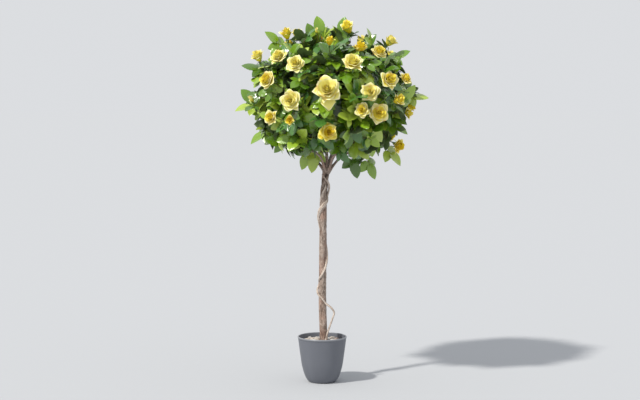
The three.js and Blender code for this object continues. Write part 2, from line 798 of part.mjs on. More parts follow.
// The first of many chance leaves at a foot that fits; it may do without one side leaflet.
// A leaf that ends a shoot never bends back along it.
function chanceLeaf(foot, space, roll, shootWay = null) {
  for (let attempt = 0; attempt < LEAF_TRIES; attempt += 1) {
    const leaf = leafAt(foot, outwardAt(foot), 2 * Math.PI * roll(), 0.1 + 0.8 * roll());
    if (shootWay && leaf.axis.dot(shootWay) < LEAST_AHEAD) {
      continue;
    }
    const fits = (leaflet) => inSpace(leaflet, space) && inTheOpen(leaflet, foot, space);
    const fitting = leafletsOf(leaf).filter(fits);
    const enough = attempt < LEAF_TRIES * 0.6 ? 3 : 2;
    const stalk = new THREE.LineCurve3(foot, foot.clone().addScaledVector(leaf.axis, LEAF_STALK));
    const free = stalk.getPoints(6).every((mark) => space.clearOfLimbs(mark, LIMB_MARGIN));
    if (free && fitting.length >= enough && fitting[0].size === 1) {
      return { ...leaf, leaflets: fitting };
    }
  }
  return null;
}

function endLeafOf(spray, space, roll, stem) {
  if (spray.kind === "leaf") {
    const shootWay = spray.place.clone().sub(stem.getPointAt(SHOOT_STARTS[0])).normalize();
    return chanceLeaf(spray.place, space, roll, shootWay);
  }
  const leaf = { foot: spray.place, axis: spray.axis, normal: spray.normal };
  const [last, ...sides] = leafletsOf(leaf);
  const fits = (side) => inSpace(side, space) && inTheOpen(side, leaf.foot, space);
  return inSpace(last, space) ? { ...leaf, leaflets: [last, ...sides.filter(fits)] } : null;
}

// Everything that grows from one stem: shoots, each with its rose or end leaf, and side leaves.
function grow(stem, ownSprays, space) {
  const shoots = [];
  const keep = (shoot, leaf) => {
    shoot.leaves.push(leaf);
    leaf.leaflets.forEach((leaflet) => space.taken.push(...leafletMarks(leaflet)));
  };
  for (const spray of ownSprays) {
    const roll = dice(spray.seed);
    const endLeaf = spray.kind === "bloom" ? null : endLeafOf(spray, space, roll, stem);
    const row = spray.kind === "bloom" || endLeaf ? growRow(spray, endLeaf, stem, space) : null;
    if (row) {
      const shoot = { spray, row, roll, leaves: [] };
      shoots.push(shoot);
      space.taken.push(...rowMarks(row));
      if (endLeaf) {
        keep(shoot, { ...endLeaf, onShoot: true });
      }
    }
  }
  for (const shoot of shoots) {
    const [, bend, end] = shoot.row;
    for (let i = 0; i < LEAVES_ON[shoot.spray.kind]; i += 1) {
      const leaf = chanceLeaf(end.clone().lerp(bend, 0.22 + 0.22 * i), space, shoot.roll);
      if (leaf) {
        keep(shoot, leaf);
      }
    }
  }
  return shoots;
}

function shootGeometry(shoot) {
  const pointed = shoot.spray.kind !== "bloom";
  return barGeometry(shoot.row, taper(SHOOT_RADIUS, SHOOT_END_RADIUS), 3, pointed);
}

function foliageSolid(mass, masses, sprays, limbs, cutters) {
  const stem = limbLine(stemPoints(mass));
  const space = spaceOf(mass, masses, sprays, limbs);
  let solid = limbSolid(stem, taper(BOUGH_RADII[mass.kind][1], 2.6), 5, 3);
  const ownSprays = sprays.filter((spray) => spray.mass === mass);
  for (const shoot of grow(stem, ownSprays, space)) {
    solid = solid.add(solidOf(shootGeometry(shoot)));
    if (shoot.spray.kind === "bloom") {
      solid = solid.add(solidOf(bloomGeometry(shoot.spray)));
    }
    for (const leaf of shoot.leaves) {
      if (!leaf.onShoot) {
        solid = solid.add(solidOf(stalkGeometry(leaf)));
      }
      for (const leaflet of leaf.leaflets) {
        solid = solid.add(solidOf(leafletGeometry(leaflet)));
      }
    }
  }
  return mainBody(cutClear(solid, cutters));
}

// Materials

function material(colour, roughness) {
  return new THREE.MeshStandardMaterial({ color: colour, roughness, metalness: 0 });
}

const materials = {
  pot: material("#6f7179", 0.6),
  fill: material("#8a8378", 0.95),
  pebbles: material("#d8cfc0", 0.8),
  bark: material("#9b8677", 0.85),
  leaves: material("#3f6b2a", 0.4),
};

// The plant

const group = new THREE.Group();

function place(name, geometry, finish) {
  const mesh = new THREE.Mesh(geometry, finish);
  mesh.name = name;
  group.add(mesh);
}

const wideTrunk = trunkSolid(GAP);
const wideTwiner = twinerSolid(GAP);
const wideClimber = climberSolid(GAP);

place("pot", potGeometry(), materials.pot);
place("fill", fillGeometry(), materials.fill);
place("pebbles", geometryOf(pebbleBed([wideTrunk, wideClimber])), materials.pebbles);
place("trunk", geometryOf(trunkSolid(0)), materials.bark);
const twiner = mainBody(cutClear(twinerSolid(0), [wideTrunk]));
place("twiner", geometryOf(twiner), materials.bark);
const climber = mainBody(cutClear(climberSolid(0), [wideTrunk, wideTwiner]));
place("climber", geometryOf(climber), materials.bark);

const masses = massList();
const sprays = [...bloomSprays(), ...tipSprays(), ...leafSprays()];
sprays.forEach((spray, index) => {
  spray.mass = nearestMass(masses, sprayMiddle(spray));
  spray.seed = 1000 + index;
});

const limbCutters = [wideTrunk, wideTwiner, wideClimber];
const limbPlaces = [
  ...limbMarks(trunkLine, trunkRadius),
  ...limbMarks(twinerLine, twinerRadius),
  ...limbMarks(climberLine, climberRadius),
];
masses.forEach((mass) => {
  place(
    `bough_${mass.name}`,
    geometryOf(mainBody(cutClear(boughSolid(mass, 0), limbCutters))),
    materials.bark,
  );
  limbCutters.push(boughSolid(mass, GAP - 0.05));
  limbPlaces.push(...limbMarks(limbLine(boughPoints(mass)), taper(...BOUGH_RADII[mass.kind])));
});
masses.forEach((mass) => {
  const solid = foliageSolid(mass, masses, sprays, limbPlaces, limbCutters);
  place(`foliage_${mass.name}`, geometryOf(solid), materials.leaves);
});

export default group;
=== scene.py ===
# %% [markdown]
# # A standard rose in a pot
# The plant is a clear stem with a round head of yellow roses and glossy leaves, and two thin
# stems are twined round it. It stands in a plain grey pot that is topped with pale pebbles.
# Everything here is in metres in the same frame as the solids. The front is towards -Y.

# %% Frame
import math

import bmesh
import bpy
import numpy as np
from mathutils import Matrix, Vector, noise


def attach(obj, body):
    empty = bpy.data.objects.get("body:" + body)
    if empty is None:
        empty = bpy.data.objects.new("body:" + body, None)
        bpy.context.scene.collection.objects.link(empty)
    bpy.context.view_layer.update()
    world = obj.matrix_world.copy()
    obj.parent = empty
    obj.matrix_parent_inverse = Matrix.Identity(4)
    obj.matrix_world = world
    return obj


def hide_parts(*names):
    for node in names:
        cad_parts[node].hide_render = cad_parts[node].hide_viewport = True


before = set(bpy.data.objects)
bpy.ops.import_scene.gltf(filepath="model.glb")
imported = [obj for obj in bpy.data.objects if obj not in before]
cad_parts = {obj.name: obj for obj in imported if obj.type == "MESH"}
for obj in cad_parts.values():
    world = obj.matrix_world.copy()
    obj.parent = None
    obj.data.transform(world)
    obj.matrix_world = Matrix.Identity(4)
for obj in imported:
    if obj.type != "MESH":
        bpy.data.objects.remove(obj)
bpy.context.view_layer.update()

# %% [markdown]
# ## Camera
# The photograph was taken from standing height with a long lens, slightly downwards. The camera
# comes first, because every later size can then be judged from the same place.

# %% Camera
LENS = 85.1
VIEW_PLACE = (-0.0072, -4.90, 0.988)
VIEW_DOWN = 4.57

camera_data = bpy.data.cameras.new("photo_view")
camera_data.lens = LENS
camera_data.sensor_width = 36
camera = bpy.data.objects.new("photo_view", camera_data)
camera.location = VIEW_PLACE
camera.rotation_euler = (math.radians(90 - VIEW_DOWN), 0, 0)
bpy.context.scene.collection.objects.link(camera)
bpy.context.scene.camera = camera
print("camera at", VIEW_PLACE, "with a lens of", LENS, "mm")

# %% [markdown]
# ## Sizes
# These are the sizes that the solids were worked out from. The head is a slightly flattened
# ball, and a place on it is given by a turn from the front towards the right and a rise above its
# middle, both in degrees, and a reach as a share of its half size. The golden turn spreads any
# number of places evenly, because no two of its steps ever fall together.

# %% Sizes
HEAD = np.array([0.028, 0.0, 0.930])
HEAD_HALF = np.array([0.262, 0.262, 0.222])
SITE_REACH = 0.62
# kind of mass, how many, their rise and the turn of the first
UPPER_MASSES = ("upper", 4, 42, 0)
LOWER_MASSES = ("lower", 6, -20, 90)
FOOT_X = 0.0054
TRUNK_FOOT = 0.12835
TRUNK_TOP = 0.716
FILL_TOP = 0.128
FORK_X = 0.015
UP = np.array([0.0, 0.0, 1.0])
GOLDEN_TURN = 0.618034
GOLDEN_ANGLE = 2.39996
TOUCHING = 1e-6
print("head", 2 * HEAD_HALF, "around", HEAD)


# %% Places on the head
def heading(turn, rise):
    turn, rise = math.radians(turn), math.radians(rise)
    flat = math.cos(rise)
    return np.array([math.sin(turn) * flat, -math.cos(turn) * flat, math.sin(rise)])


def on_head(turn, rise, reach):
    return HEAD + heading(turn, rise) * HEAD_HALF * reach


def head_reach(place):
    return np.linalg.norm((place - HEAD) / HEAD_HALF, axis=-1)


def unit(vector):
    return vector / np.linalg.norm(vector)


def outward_at(place):
    return unit((place - HEAD) / HEAD_HALF**2)


def across(direction, normal):
    return unit(normal - direction * normal.dot(direction))


# %% [markdown]
# ## Finishes
# A finish is a Principled shader whose fine grain comes from noise on Object coordinates. Leaves
# and petals get plain base colours, one material for each shade, because a pattern in colour
# would fall anywhere on a piece that joins a thousand of them.

# %% Parts of a finish
def noise_on(material, scale, detail, roughness=0.5, stretch=None):
    """Noise on Object coordinates. A stretch below 1 draws it out along that axis."""
    nodes, links = material.node_tree.nodes, material.node_tree.links
    place = nodes.new("ShaderNodeTexCoord").outputs["Object"]
    if stretch:
        mapping = nodes.new("ShaderNodeMapping")
        mapping.inputs["Scale"].default_value = stretch
        links.new(place, mapping.inputs["Vector"])
        place = mapping.outputs["Vector"]
    texture = nodes.new("ShaderNodeTexNoise")
    texture.inputs["Scale"].default_value = scale
    texture.inputs["Detail"].default_value = detail
    texture.inputs["Roughness"].default_value = roughness
    links.new(place, texture.inputs["Vector"])
    return texture.outputs["Fac"]


def ranged(material, value, start, end, result_start, result_end):
    """Maps start to end onto result_start to result_end."""
    spread = material.node_tree.nodes.new("ShaderNodeMapRange")
    limits = {"From Min": start, "From Max": end, "To Min": result_start, "To Max": result_end}
    for label, number in limits.items():
        spread.inputs[label].default_value = number
    material.node_tree.links.new(value, spread.inputs["Value"])
    return spread.outputs["Result"]


def ramped(material, value, stops):
    """A colour from (place, colour) stops on a ramp."""
    ramp = material.node_tree.nodes.new("ShaderNodeValToRGB")
    while len(ramp.color_ramp.elements) < len(stops):
        ramp.color_ramp.elements.new(0.5)
    for element, (place, colour) in zip(ramp.color_ramp.elements, stops):
        element.position = place
        element.color = (*colour, 1)
    material.node_tree.links.new(value, ramp.inputs["Fac"])
    return ramp.outputs["Color"]


def bumped(material, height, strength, distance):
    """Adds relief to a material, over the relief that it has already."""
    nodes, links = material.node_tree.nodes, material.node_tree.links
    normal = nodes["Principled BSDF"].inputs["Normal"]
    relief = nodes.new("ShaderNodeBump")
    relief.inputs["Strength"].default_value = strength
    relief.inputs["Distance"].default_value = distance
    if normal.is_linked:
        links.new(normal.links[0].from_socket, relief.inputs["Normal"])
    links.new(height, relief.inputs["Height"])
    links.new(relief.outputs["Normal"], normal)
    return material


# %% Finishes
GRAIN_DETAIL = 4
TINT_DETAIL = 5
TINT_ROUGHNESS = 0.6


def finish(name, colour, roughness, grain=400.0, bump=0.1, distance=0.0002, **inputs):
    """A plain colour with a fine grain. More of the shader's sockets go by name, _ for a space."""
    material = bpy.data.materials.new(name)
    material.use_nodes = True
    shader = material.node_tree.nodes["Principled BSDF"]
    shader.inputs["Base Color"].default_value = (*colour, 1)
    shader.inputs["Roughness"].default_value = roughness
    for label, value in inputs.items():
        shader.inputs[label.replace("_", " ")].default_value = value
    return bumped(material, noise_on(material, grain, GRAIN_DETAIL), bump, distance)


def tinted(material, stops, scale, stretch=None, rough=None):
    """Varies a material's colour by noise, and its roughness too where rough gives two limits."""
    links, shader = material.node_tree.links, material.node_tree.nodes["Principled BSDF"]
    cloud = noise_on(material, scale, TINT_DETAIL, TINT_ROUGHNESS, stretch)
    links.new(ramped(material, cloud, stops), shader.inputs["Base Color"])
    if rough:
        links.new(ranged(material, cloud, 0, 1, *rough), shader.inputs["Roughness"])
    return material


# %% Pieces
def piece_from(name, mesh, materials, replaced=()):
    """A visible piece of the plant, which may stand for some of the solids."""
    for material in materials:
        mesh.materials.append(material)
    piece = bpy.data.objects.new(name, mesh)
    bpy.context.scene.collection.objects.link(piece)
    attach(piece, "root")
    if replaced:
        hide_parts(*replaced)
    triangles = sum(len(face.vertices) - 2 for face in mesh.polygons)
    print(name, triangles, "triangles")
    return piece


def mesh_of(name, bm, smooth=True):
    mesh = bpy.data.meshes.new(name)
    bm.to_mesh(mesh)
    bm.free()
    mesh.polygons.foreach_set("use_smooth", [smooth] * len(mesh.polygons))
    return mesh


# %% [markdown]
# ## Pot
# The pot is smooth moulded plastic: a foot that curves in, a wall that widens to the top, and a
# thin rolled rim whose top is painted a paler grey as a painted highlight and made smoother, so
# it shows as a pale line. Anything round like this is quickest as half an outline that is spun
# about its axis. The wall is a smooth line through a few places, as the stems are later, and the
# outline runs down inside as far as the filling hides.

# %% Smooth lines
FINE_STEPS = 24


def between(t, low, high, first, last):
    """The place for t, where low stands for the first place and high for the last."""
    return ((high - t) * first + (t - low) * last) / (high - low)


def running_lengths(row):
    """How far along a row each of its places is."""
    return np.concatenate([[0], np.cumsum(np.linalg.norm(np.diff(row, axis=0), axis=1))])


def smooth_row(points, count):
    """Places at even steps along a smooth line through the points."""
    points = np.array(points, dtype=float)
    padded = np.vstack([2 * points[0] - points[1], points, 2 * points[-1] - points[-2]])
    spans = np.sqrt(np.linalg.norm(np.diff(padded, axis=0), axis=1))
    knots = np.concatenate([[0], np.cumsum(spans)])
    fine = []
    for i in range(1, len(padded) - 2):
        p, k = padded[i - 1 : i + 3], knots[i - 1 : i + 3]
        for t in np.linspace(k[1], k[2], FINE_STEPS, endpoint=False):
            a = [between(t, k[j], k[j + 1], p[j], p[j + 1]) for j in range(3)]
            b = [between(t, k[j], k[j + 2], a[j], a[j + 1]) for j in range(2)]
            fine.append(between(t, k[1], k[2], b[0], b[1]))
    fine = np.array([*fine, points[-1]])
    lengths = running_lengths(fine)
    wanted = np.linspace(0, lengths[-1], count)
    return np.stack([np.interp(wanted, lengths, part) for part in fine.T], axis=1)


# %% Pot
POT_WALL = 0.003
# reach from the axis and height
POT_FOOT = [(0.0, 0.0012), (0.034, 0.0012), (0.0365, 0.0)]
POT_OUTLINE = [(0.043, 0.0), (0.051, 0.0095), (0.058, 0.024), (0.066, 0.052), (0.0725, 0.095)]
POT_RIM = (0.0790, 0.1445)
POT_BEAD = [
    (0.0798, 0.1452), (0.0804, 0.1464), (0.0805, 0.1477), (0.0800, 0.1489),
    (0.0790, 0.1498), (0.0778, 0.1500), (0.0769, 0.1494), (0.0764, 0.1482),
]
POT_INSIDE = (0.144, 0.136, 0.128, 0.118)
POT_STEPS = 128
POT_GREYS = [
    (0.3, (0.126, 0.134, 0.157)), (0.55, (0.138, 0.147, 0.172)), (0.8, (0.150, 0.158, 0.182)),
]
# the top of the rim is the same plastic as the wall, and this paler grey is a painted highlight
RIM_HIGHLIGHT_GREY = (0.235, 0.245, 0.270)
outer = smooth_row([*POT_OUTLINE, POT_RIM], 30)


def wall_at(height):
    """How far the inside of the wall is from the axis."""
    return float(np.interp(height, outer[:, 1], outer[:, 0])) - POT_WALL


outline = [*POT_FOOT, *map(tuple, outer), *POT_BEAD]
outline += [(wall_at(height), height) for height in POT_INSIDE]
bm = bmesh.new()
corners = [bm.verts.new((reach, 0, height)) for reach, height in outline]
edges = [bm.edges.new(pair) for pair in zip(corners, corners[1:])]
bmesh.ops.spin(
    bm, geom=corners + edges, axis=(0, 0, 1), cent=(0, 0, 0),
    angle=2 * math.pi, steps=POT_STEPS, use_merge=True,
)
bmesh.ops.remove_doubles(bm, verts=bm.verts, dist=TOUCHING)
inner_edge = [edge for edge in bm.edges if edge.is_boundary]
bmesh.ops.holes_fill(bm, edges=inner_edge, sides=0)
bmesh.ops.recalc_face_normals(bm, faces=bm.faces)
# faces on top of the rim take the second material, whose paler grey is a painted highlight
for face in bm.faces:
    middle = face.calc_center_median()
    face.material_index = int(middle.z > POT_RIM[1] and middle.xy.length > POT_BEAD[-1][0])
pot_plastic = finish("pot_plastic", POT_GREYS[1][1], 0.5, grain=2600, bump=0.12, distance=0.0001)
tinted(pot_plastic, POT_GREYS, scale=16, stretch=(1, 1, 0.35), rough=(0.42, 0.56))
# the rim's paler grey is a painted highlight, and its lower roughness is a smoother finish
rim_painted_highlight = finish("rim_painted_highlight", RIM_HIGHLIGHT_GREY, 0.34, grain=2600, bump=0.1, distance=0.0001)
pot_mesh = mesh_of("pot_shell", bm)
piece_from("pot_shell", pot_mesh, [pot_plastic, rim_painted_highlight], ["pot"])

# %% [markdown]
# ## Filling and pebbles
# The pot is weighted with a rough filling, and a layer of washed pebbles hides it. The filling
# keeps its solid and gets a gritty finish. A pebble is a ball that noise has worn out of round,
# and a handful of shapes, turned and scaled, make a bed that never looks repeated.

# %% Filling
filling = finish("filling", (0.20, 0.18, 0.15), 0.95, grain=900, bump=0.6, distance=0.0008)
tinted(filling, [(0.35, (0.13, 0.115, 0.095)), (0.65, (0.27, 0.245, 0.20))], scale=140)
fill_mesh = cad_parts["fill"].data
fill_mesh.materials.clear()
fill_mesh.materials.append(filling)
print("filling", len(fill_mesh.polygons), "faces")

# %% Pebble shapes
PEBBLE_SHAPES = 6


def arrays_of(bm):
    """Vertices and faces of a shape that will be repeated."""
    bm.verts.index_update()
    places = np.array([vert.co[:] for vert in bm.verts])
    faces = [[vert.index for vert in face.verts] for face in bm.faces]
    bm.free()
    return places, faces


def pebble_shape(seed):
    bm = bmesh.new()
    bmesh.ops.create_icosphere(bm, subdivisions=3, radius=1)
    for vert in bm.verts:
        bulge = noise.noise(vert.co * 0.9 + Vector((seed * 7.3, 0, 0)))
        dent = noise.noise(vert.co * 2.3 + Vector((0, seed * 3.1, 0)))
        vert.co *= 1 + 0.28 * bulge + 0.07 * dent
    bmesh.ops.recalc_face_normals(bm, faces=bm.faces)
    return arrays_of(bm)


pebble_shapes = {i: pebble_shape(i) for i in range(PEBBLE_SHAPES)}
print(PEBBLE_SHAPES, "pebble shapes of", len(pebble_shapes[0][1]), "faces")

# %% Joining copies
SHARP_RIM = math.radians(80)


def joined(name, shapes, copies, smooth=True, own_places=None):
    """One mesh from many copies. A copy is (shape, 3 x 3 turn and scale, place, slots of its faces).
    own_places names an attribute that keeps every copy's place on its own shape, for patterns."""
    places, loops, starts, slots, own = [], [], [], [], []
    vertex_count = loop_count = 0
    packed = {}
    for key, (points, faces) in shapes.items():
        sizes = np.array([len(face) for face in faces])
        packed[key] = (points, np.concatenate(faces), sizes)
    for key, turn, place, face_slots in copies:
        points, flat, sizes = packed[key]
        places.append(points @ turn.T + place)
        own.append(points)
        loops.append(flat + vertex_count)
        starts.append(loop_count + np.concatenate([[0], np.cumsum(sizes)[:-1]]))
        slots.append(np.broadcast_to(face_slots, len(sizes)))
        vertex_count += len(points)
        loop_count += len(flat)
    mesh = bpy.data.meshes.new(name)
    mesh.vertices.add(vertex_count)
    mesh.vertices.foreach_set("co", np.concatenate(places).astype(np.float32).ravel())
    mesh.loops.add(loop_count)
    mesh.loops.foreach_set("vertex_index", np.concatenate(loops).astype(np.int32))
    starts = np.concatenate(starts).astype(np.int32)
    mesh.polygons.add(len(starts))
    mesh.polygons.foreach_set("loop_start", starts)
    mesh.polygons.foreach_set("material_index", np.concatenate(slots).astype(np.int32))
    mesh.polygons.foreach_set("use_smooth", np.full(len(starts), smooth))
    if own_places:
        kept = mesh.attributes.new(own_places, "FLOAT_VECTOR", "POINT")
        kept.data.foreach_set("vector", np.concatenate(own).astype(np.float32).ravel())
    mesh.update(calc_edges=True)
    mesh.validate()
    if smooth:
        mesh.set_sharp_from_angle(angle=SHARP_RIM)
    return mesh


def axes_turn(first, second, third, scale):
    """Columns are where a shape's X, Y and Z axes go."""
    return np.stack([first, second, third], axis=1) * scale


# %% Pebble bed
PEBBLE_COUNT = 150
PEBBLE_LEAST = 0.0042
PEBBLE_SPREAD = 0.0052
PEBBLE_SEAT = 0.0028
PEBBLE_HEAP = 0.0045
BED_GAP = 0.0012
CLEAR_OF_TRUNK = 0.0165
PEBBLE_COLOURS = [
    (0.50, 0.44, 0.375), (0.56, 0.535, 0.50), (0.47, 0.37, 0.32),
    (0.60, 0.59, 0.58), (0.39, 0.365, 0.35),
]
pebble_dice = np.random.default_rng(7)
bed_radius = wall_at(FILL_TOP) - BED_GAP
pebbles = []
for i in range(PEBBLE_COUNT):
    size = PEBBLE_LEAST + PEBBLE_SPREAD * pebble_dice.random() ** 1.6
    reach = (bed_radius - size * 1.25) * math.sqrt((i + 0.5) / PEBBLE_COUNT)
    turn = i * GOLDEN_ANGLE + 0.2 * pebble_dice.random()
    place = np.array([reach * math.cos(turn), reach * math.sin(turn), 0])
    if math.hypot(place[0] - FOOT_X, place[1]) < CLEAR_OF_TRUNK + size:
        continue
    flat = 0.62 + 0.2 * pebble_dice.random()
    heaped = PEBBLE_HEAP * pebble_dice.random() * (1 - reach / bed_radius)
    place[2] = FILL_TOP + PEBBLE_SEAT + size * flat * 0.5 + heaped
    spin = pebble_dice.random() * 2 * math.pi
    rocked = 0.25 * (pebble_dice.random() - 0.5)
    first = unit(np.array([math.cos(spin), math.sin(spin), rocked]))
    third = across(first, UP)
    second = np.cross(third, first)
    scale = np.array([1.15, 0.85 + 0.2 * pebble_dice.random(), flat]) * size
    shade = i * 5 % 7 % len(PEBBLE_COLOURS)
    pebbles.append((i % PEBBLE_SHAPES, axes_turn(first, second, third, scale), place, shade))
pebble_finishes = []
for i, colour in enumerate(PEBBLE_COLOURS):
    stone = finish(f"pebble_{i}", colour, 0.62, grain=700, bump=0.35, distance=0.0003)
    dark = tuple(0.78 * part for part in colour)
    pale = tuple(min(1, 1.12 * part) for part in colour)
    pebble_finishes.append(tinted(stone, [(0.3, dark), (0.5, colour), (0.75, pale)], scale=190))
pebble_mesh = joined("pebble_bed", pebble_shapes, pebbles)
piece_from("pebble_bed", pebble_mesh, pebble_finishes, ["pebbles"])

# %% [markdown]
# ## Stems and bark
# The stem is a real piece of wood, with fine upright fissures that follow its slight twist. Two
# thin stems wind round it with a paler, smoother bark, a short strand lies round it near the top,
# and from there to the fork it is wrung like three strands. A limb is a grid that is rolled round
# a smooth line. Noise along the grain lifts its skin, so the relief is in the mesh. The lift is
# kept at every place as an attribute, and the colour reads it: dark in a fissure, pale on a ridge.
# The dark is partly the bark's own colour in its fissures and partly painted shade in the hollows,
# and the deep grooves of the wrung strands paint the top of the stem dark as shade.

# %% Rolling a limb
START_SIDE = np.array([0.31, -0.95, 0.07])
STRANDS = 3
STRAND_TWIST = 55
WRUNG_OVER = 0.03
SLOW_LENGTH = 0.05


def carried_frames(row):
    """A sideways direction at every place of a row, carried along so that it never twists."""
    ahead = np.gradient(row, axis=0)
    ahead /= np.linalg.norm(ahead, axis=1, keepdims=True)
    side = across(ahead[0], START_SIDE)
    sides = [side]
    for direction in ahead[1:]:
        side = across(direction, side)
        sides.append(side)
    sides = np.array(sides)
    return sides, np.cross(ahead, sides)


def rolled(name, row, radii, sides, relief):
    """A closed limb along a row of places. relief(turn, along, place) gives the relief's height
    and the share of it by which a place of the skin is lifted."""
    side, other = carried_frames(row)
    steps = len(row) - 1
    along = running_lengths(row)
    bm = bmesh.new()
    kept = bm.verts.layers.float.new("lift")
    bmesh.ops.create_grid(bm, x_segments=sides, y_segments=steps, size=1)
    for vert in bm.verts:
        column = round((vert.co.x + 1) / 2 * sides)
        step = round((vert.co.y + 1) / 2 * steps)
        turn = 2 * math.pi * (column % sides) / sides
        out = side[step] * math.cos(turn) + other[step] * math.sin(turn)
        height, share = relief(turn, along[step], row[step])
        vert[kept] = share
        vert.co = Vector(row[step] + out * (radii[step] + height * share))
    bmesh.ops.remove_doubles(bm, verts=bm.verts, dist=TOUCHING)
    open_edges = [edge for edge in bm.edges if edge.is_boundary]
    bmesh.ops.holes_fill(bm, edges=open_edges, sides=0)
    bmesh.ops.recalc_face_normals(bm, faces=bm.faces)
    return mesh_of(name, bm)


def grain_relief(height, fissures, length, twist, seed=0.0, wrung_from=None):
    """Ridges that run along a limb: they are narrow round it, long along it, and may twist.
    Above wrung_from the limb is also wrung into strands. Their grooves sink the share far, and
    the bark's colour follows it, so they are painted dark as shade."""

    def relief(turn, along, place):
        turned = turn + twist * along
        spot = Vector((math.cos(turned) * fissures, math.sin(turned) * fissures, along / length + seed))
        ridge = 1 - 2 * abs(noise.noise(spot))
        fine = noise.noise(spot * 2.7)
        slow = noise.noise(Vector((math.cos(turn), math.sin(turn), along / SLOW_LENGTH + seed)))
        share = 0.9 * (ridge - 0.6) + 0.5 * fine + 0.7 * slow
        if wrung_from:
            wrung = min(1, max(0, (place[2] - wrung_from) / WRUNG_OVER))
            strand = abs(math.cos(STRANDS / 2 * (turn - STRAND_TWIST * along)))
            # the strands' grooves sink the mesh, and through the lift they also paint the bark dark
            # there as shade
            share += wrung * (1.4 * strand - 1.5)
        return height, share

    return relief


# %% Bark
# the dark stops colour the sunk parts: partly the bark's own fissures, partly painted shade
BARK_STOPS = [
    (0.16, (0.060, 0.043, 0.033)), (0.36, (0.200, 0.150, 0.120)),
    (0.52, (0.335, 0.264, 0.218)), (0.76, (0.50, 0.415, 0.355)),
]
PALE_STOPS = [
    (0.18, (0.20, 0.145, 0.112)), (0.42, (0.47, 0.38, 0.315)), (0.72, (0.72, 0.63, 0.55)),
]
PATCH_TINT = (1.0, 0.80, 0.74)
PATCH_SCALE = 22
PATCH_SPREAD = (0.45, 0.62, 0, 0.8)


def barked(material, stops, scale, stretch, lifted):
    """Colours bark by its own lift, with fine streaks along the grain. Sunk places come out dark,
    partly as the bark's own colour and partly as painted shade.
    """
    nodes, links = material.node_tree.nodes, material.node_tree.links
    lift = nodes.new("ShaderNodeAttribute")
    lift.attribute_name = "lift"
    mixed = nodes.new("ShaderNodeMath")
    mixed.operation = "MULTIPLY_ADD"
    mixed.inputs[1].default_value = lifted
    links.new(lift.outputs["Fac"], mixed.inputs[0])
    links.new(noise_on(material, scale, 6, 0.65, (1, 1, stretch)), mixed.inputs[2])
    shader = nodes["Principled BSDF"]
    links.new(ramped(material, mixed.outputs[0], stops), shader.inputs["Base Color"])
    return material


def patched(material, colour):
    """Tints slow patches of a material that is coloured already."""
    nodes, links = material.node_tree.nodes, material.node_tree.links
    base = nodes["Principled BSDF"].inputs["Base Color"]
    blotches = noise_on(material, PATCH_SCALE, 2)
    tint = nodes.new("ShaderNodeMix")
    tint.data_type = "RGBA"
    tint.blend_type = "MULTIPLY"
    links.new(ranged(material, blotches, *PATCH_SPREAD), tint.inputs["Factor"])
    links.new(base.links[0].from_socket, tint.inputs["A"])
    tint.inputs["B"].default_value = (*colour, 1)
    links.new(tint.outputs["Result"], base)
    return material


bark = finish("bark", BARK_STOPS[2][1], 0.88, grain=1100, bump=0.6, distance=0.0006)
patched(barked(bark, BARK_STOPS, scale=420, stretch=0.5, lifted=0.21), PATCH_TINT)
pale_bark = finish("pale_bark", PALE_STOPS[1][1], 0.82, grain=1300, bump=0.5, distance=0.0004)
barked(pale_bark, PALE_STOPS, scale=380, stretch=0.3, lifted=0.30)

# %% Trunk
TRUNK_LINE = [
    (FOOT_X, 0, 0.12235), (0.002, 0, 0.222), (0.0005, 0, 0.3), (0.002, 0, 0.4), (0.003, 0, 0.492),
    (0.003, 0, 0.567), (0.006, 0, 0.625), (0.011, 0, 0.681), (FORK_X, 0, TRUNK_TOP),
]
TRUNK_LOW = TRUNK_LINE[0][2]
TRUNK_RADII = (0.0128, 0.0116)
# how much thicker, and over which height
FLARE = (0.0022, 0.030)
SWELLING = (0.0024, 0.045)
# the top is rounded off over its last stretch, but never to a point
TRUNK_ROUNDING = 0.016
TOP_ROOM = 0.0015
LEAST_SHARE = 0.03
SKIN_IN = 0.0003
SUNK = 0.0004
TRUNK_SIDES = 84
LONG_ROW = 420


def trunk_share(height):
    return (height - TRUNK_LOW) / (TRUNK_TOP - TRUNK_LOW)


def trunk_radius(share):
    """The stem tapers, flares at its foot and swells under the fork."""
    height = TRUNK_LOW + (TRUNK_TOP - TRUNK_LOW) * share
    plain = TRUNK_RADII[0] + (TRUNK_RADII[1] - TRUNK_RADII[0]) * share
    flare = np.maximum(0, 1 - (height - TRUNK_FOOT) / FLARE[1]) ** 2
    swelling = np.maximum(0, 1 - (TRUNK_TOP - height) / SWELLING[1])
    return plain + FLARE[0] * flare + SWELLING[0] * swelling


def above_fill(row):
    """A stem's row without what the filling hides."""
    return row[row[:, 2] > TRUNK_FOOT - SUNK]


trunk_row = above_fill(smooth_row(TRUNK_LINE, LONG_ROW))
to_top = (TRUNK_TOP + TOP_ROOM - trunk_row[:, 2]) / TRUNK_ROUNDING
rounded_top = np.sqrt(np.clip(to_top, LEAST_SHARE, 1))
trunk_radii = trunk_radius(trunk_share(trunk_row[:, 2])) * rounded_top - SKIN_IN
trunk_relief = grain_relief(0.0012, 2.8, 0.020, 9.0, wrung_from=0.600)
trunk_mesh = rolled("trunk_bark", trunk_row, trunk_radii, TRUNK_SIDES, trunk_relief)
piece_from("trunk_bark", trunk_mesh, [bark], ["trunk"])


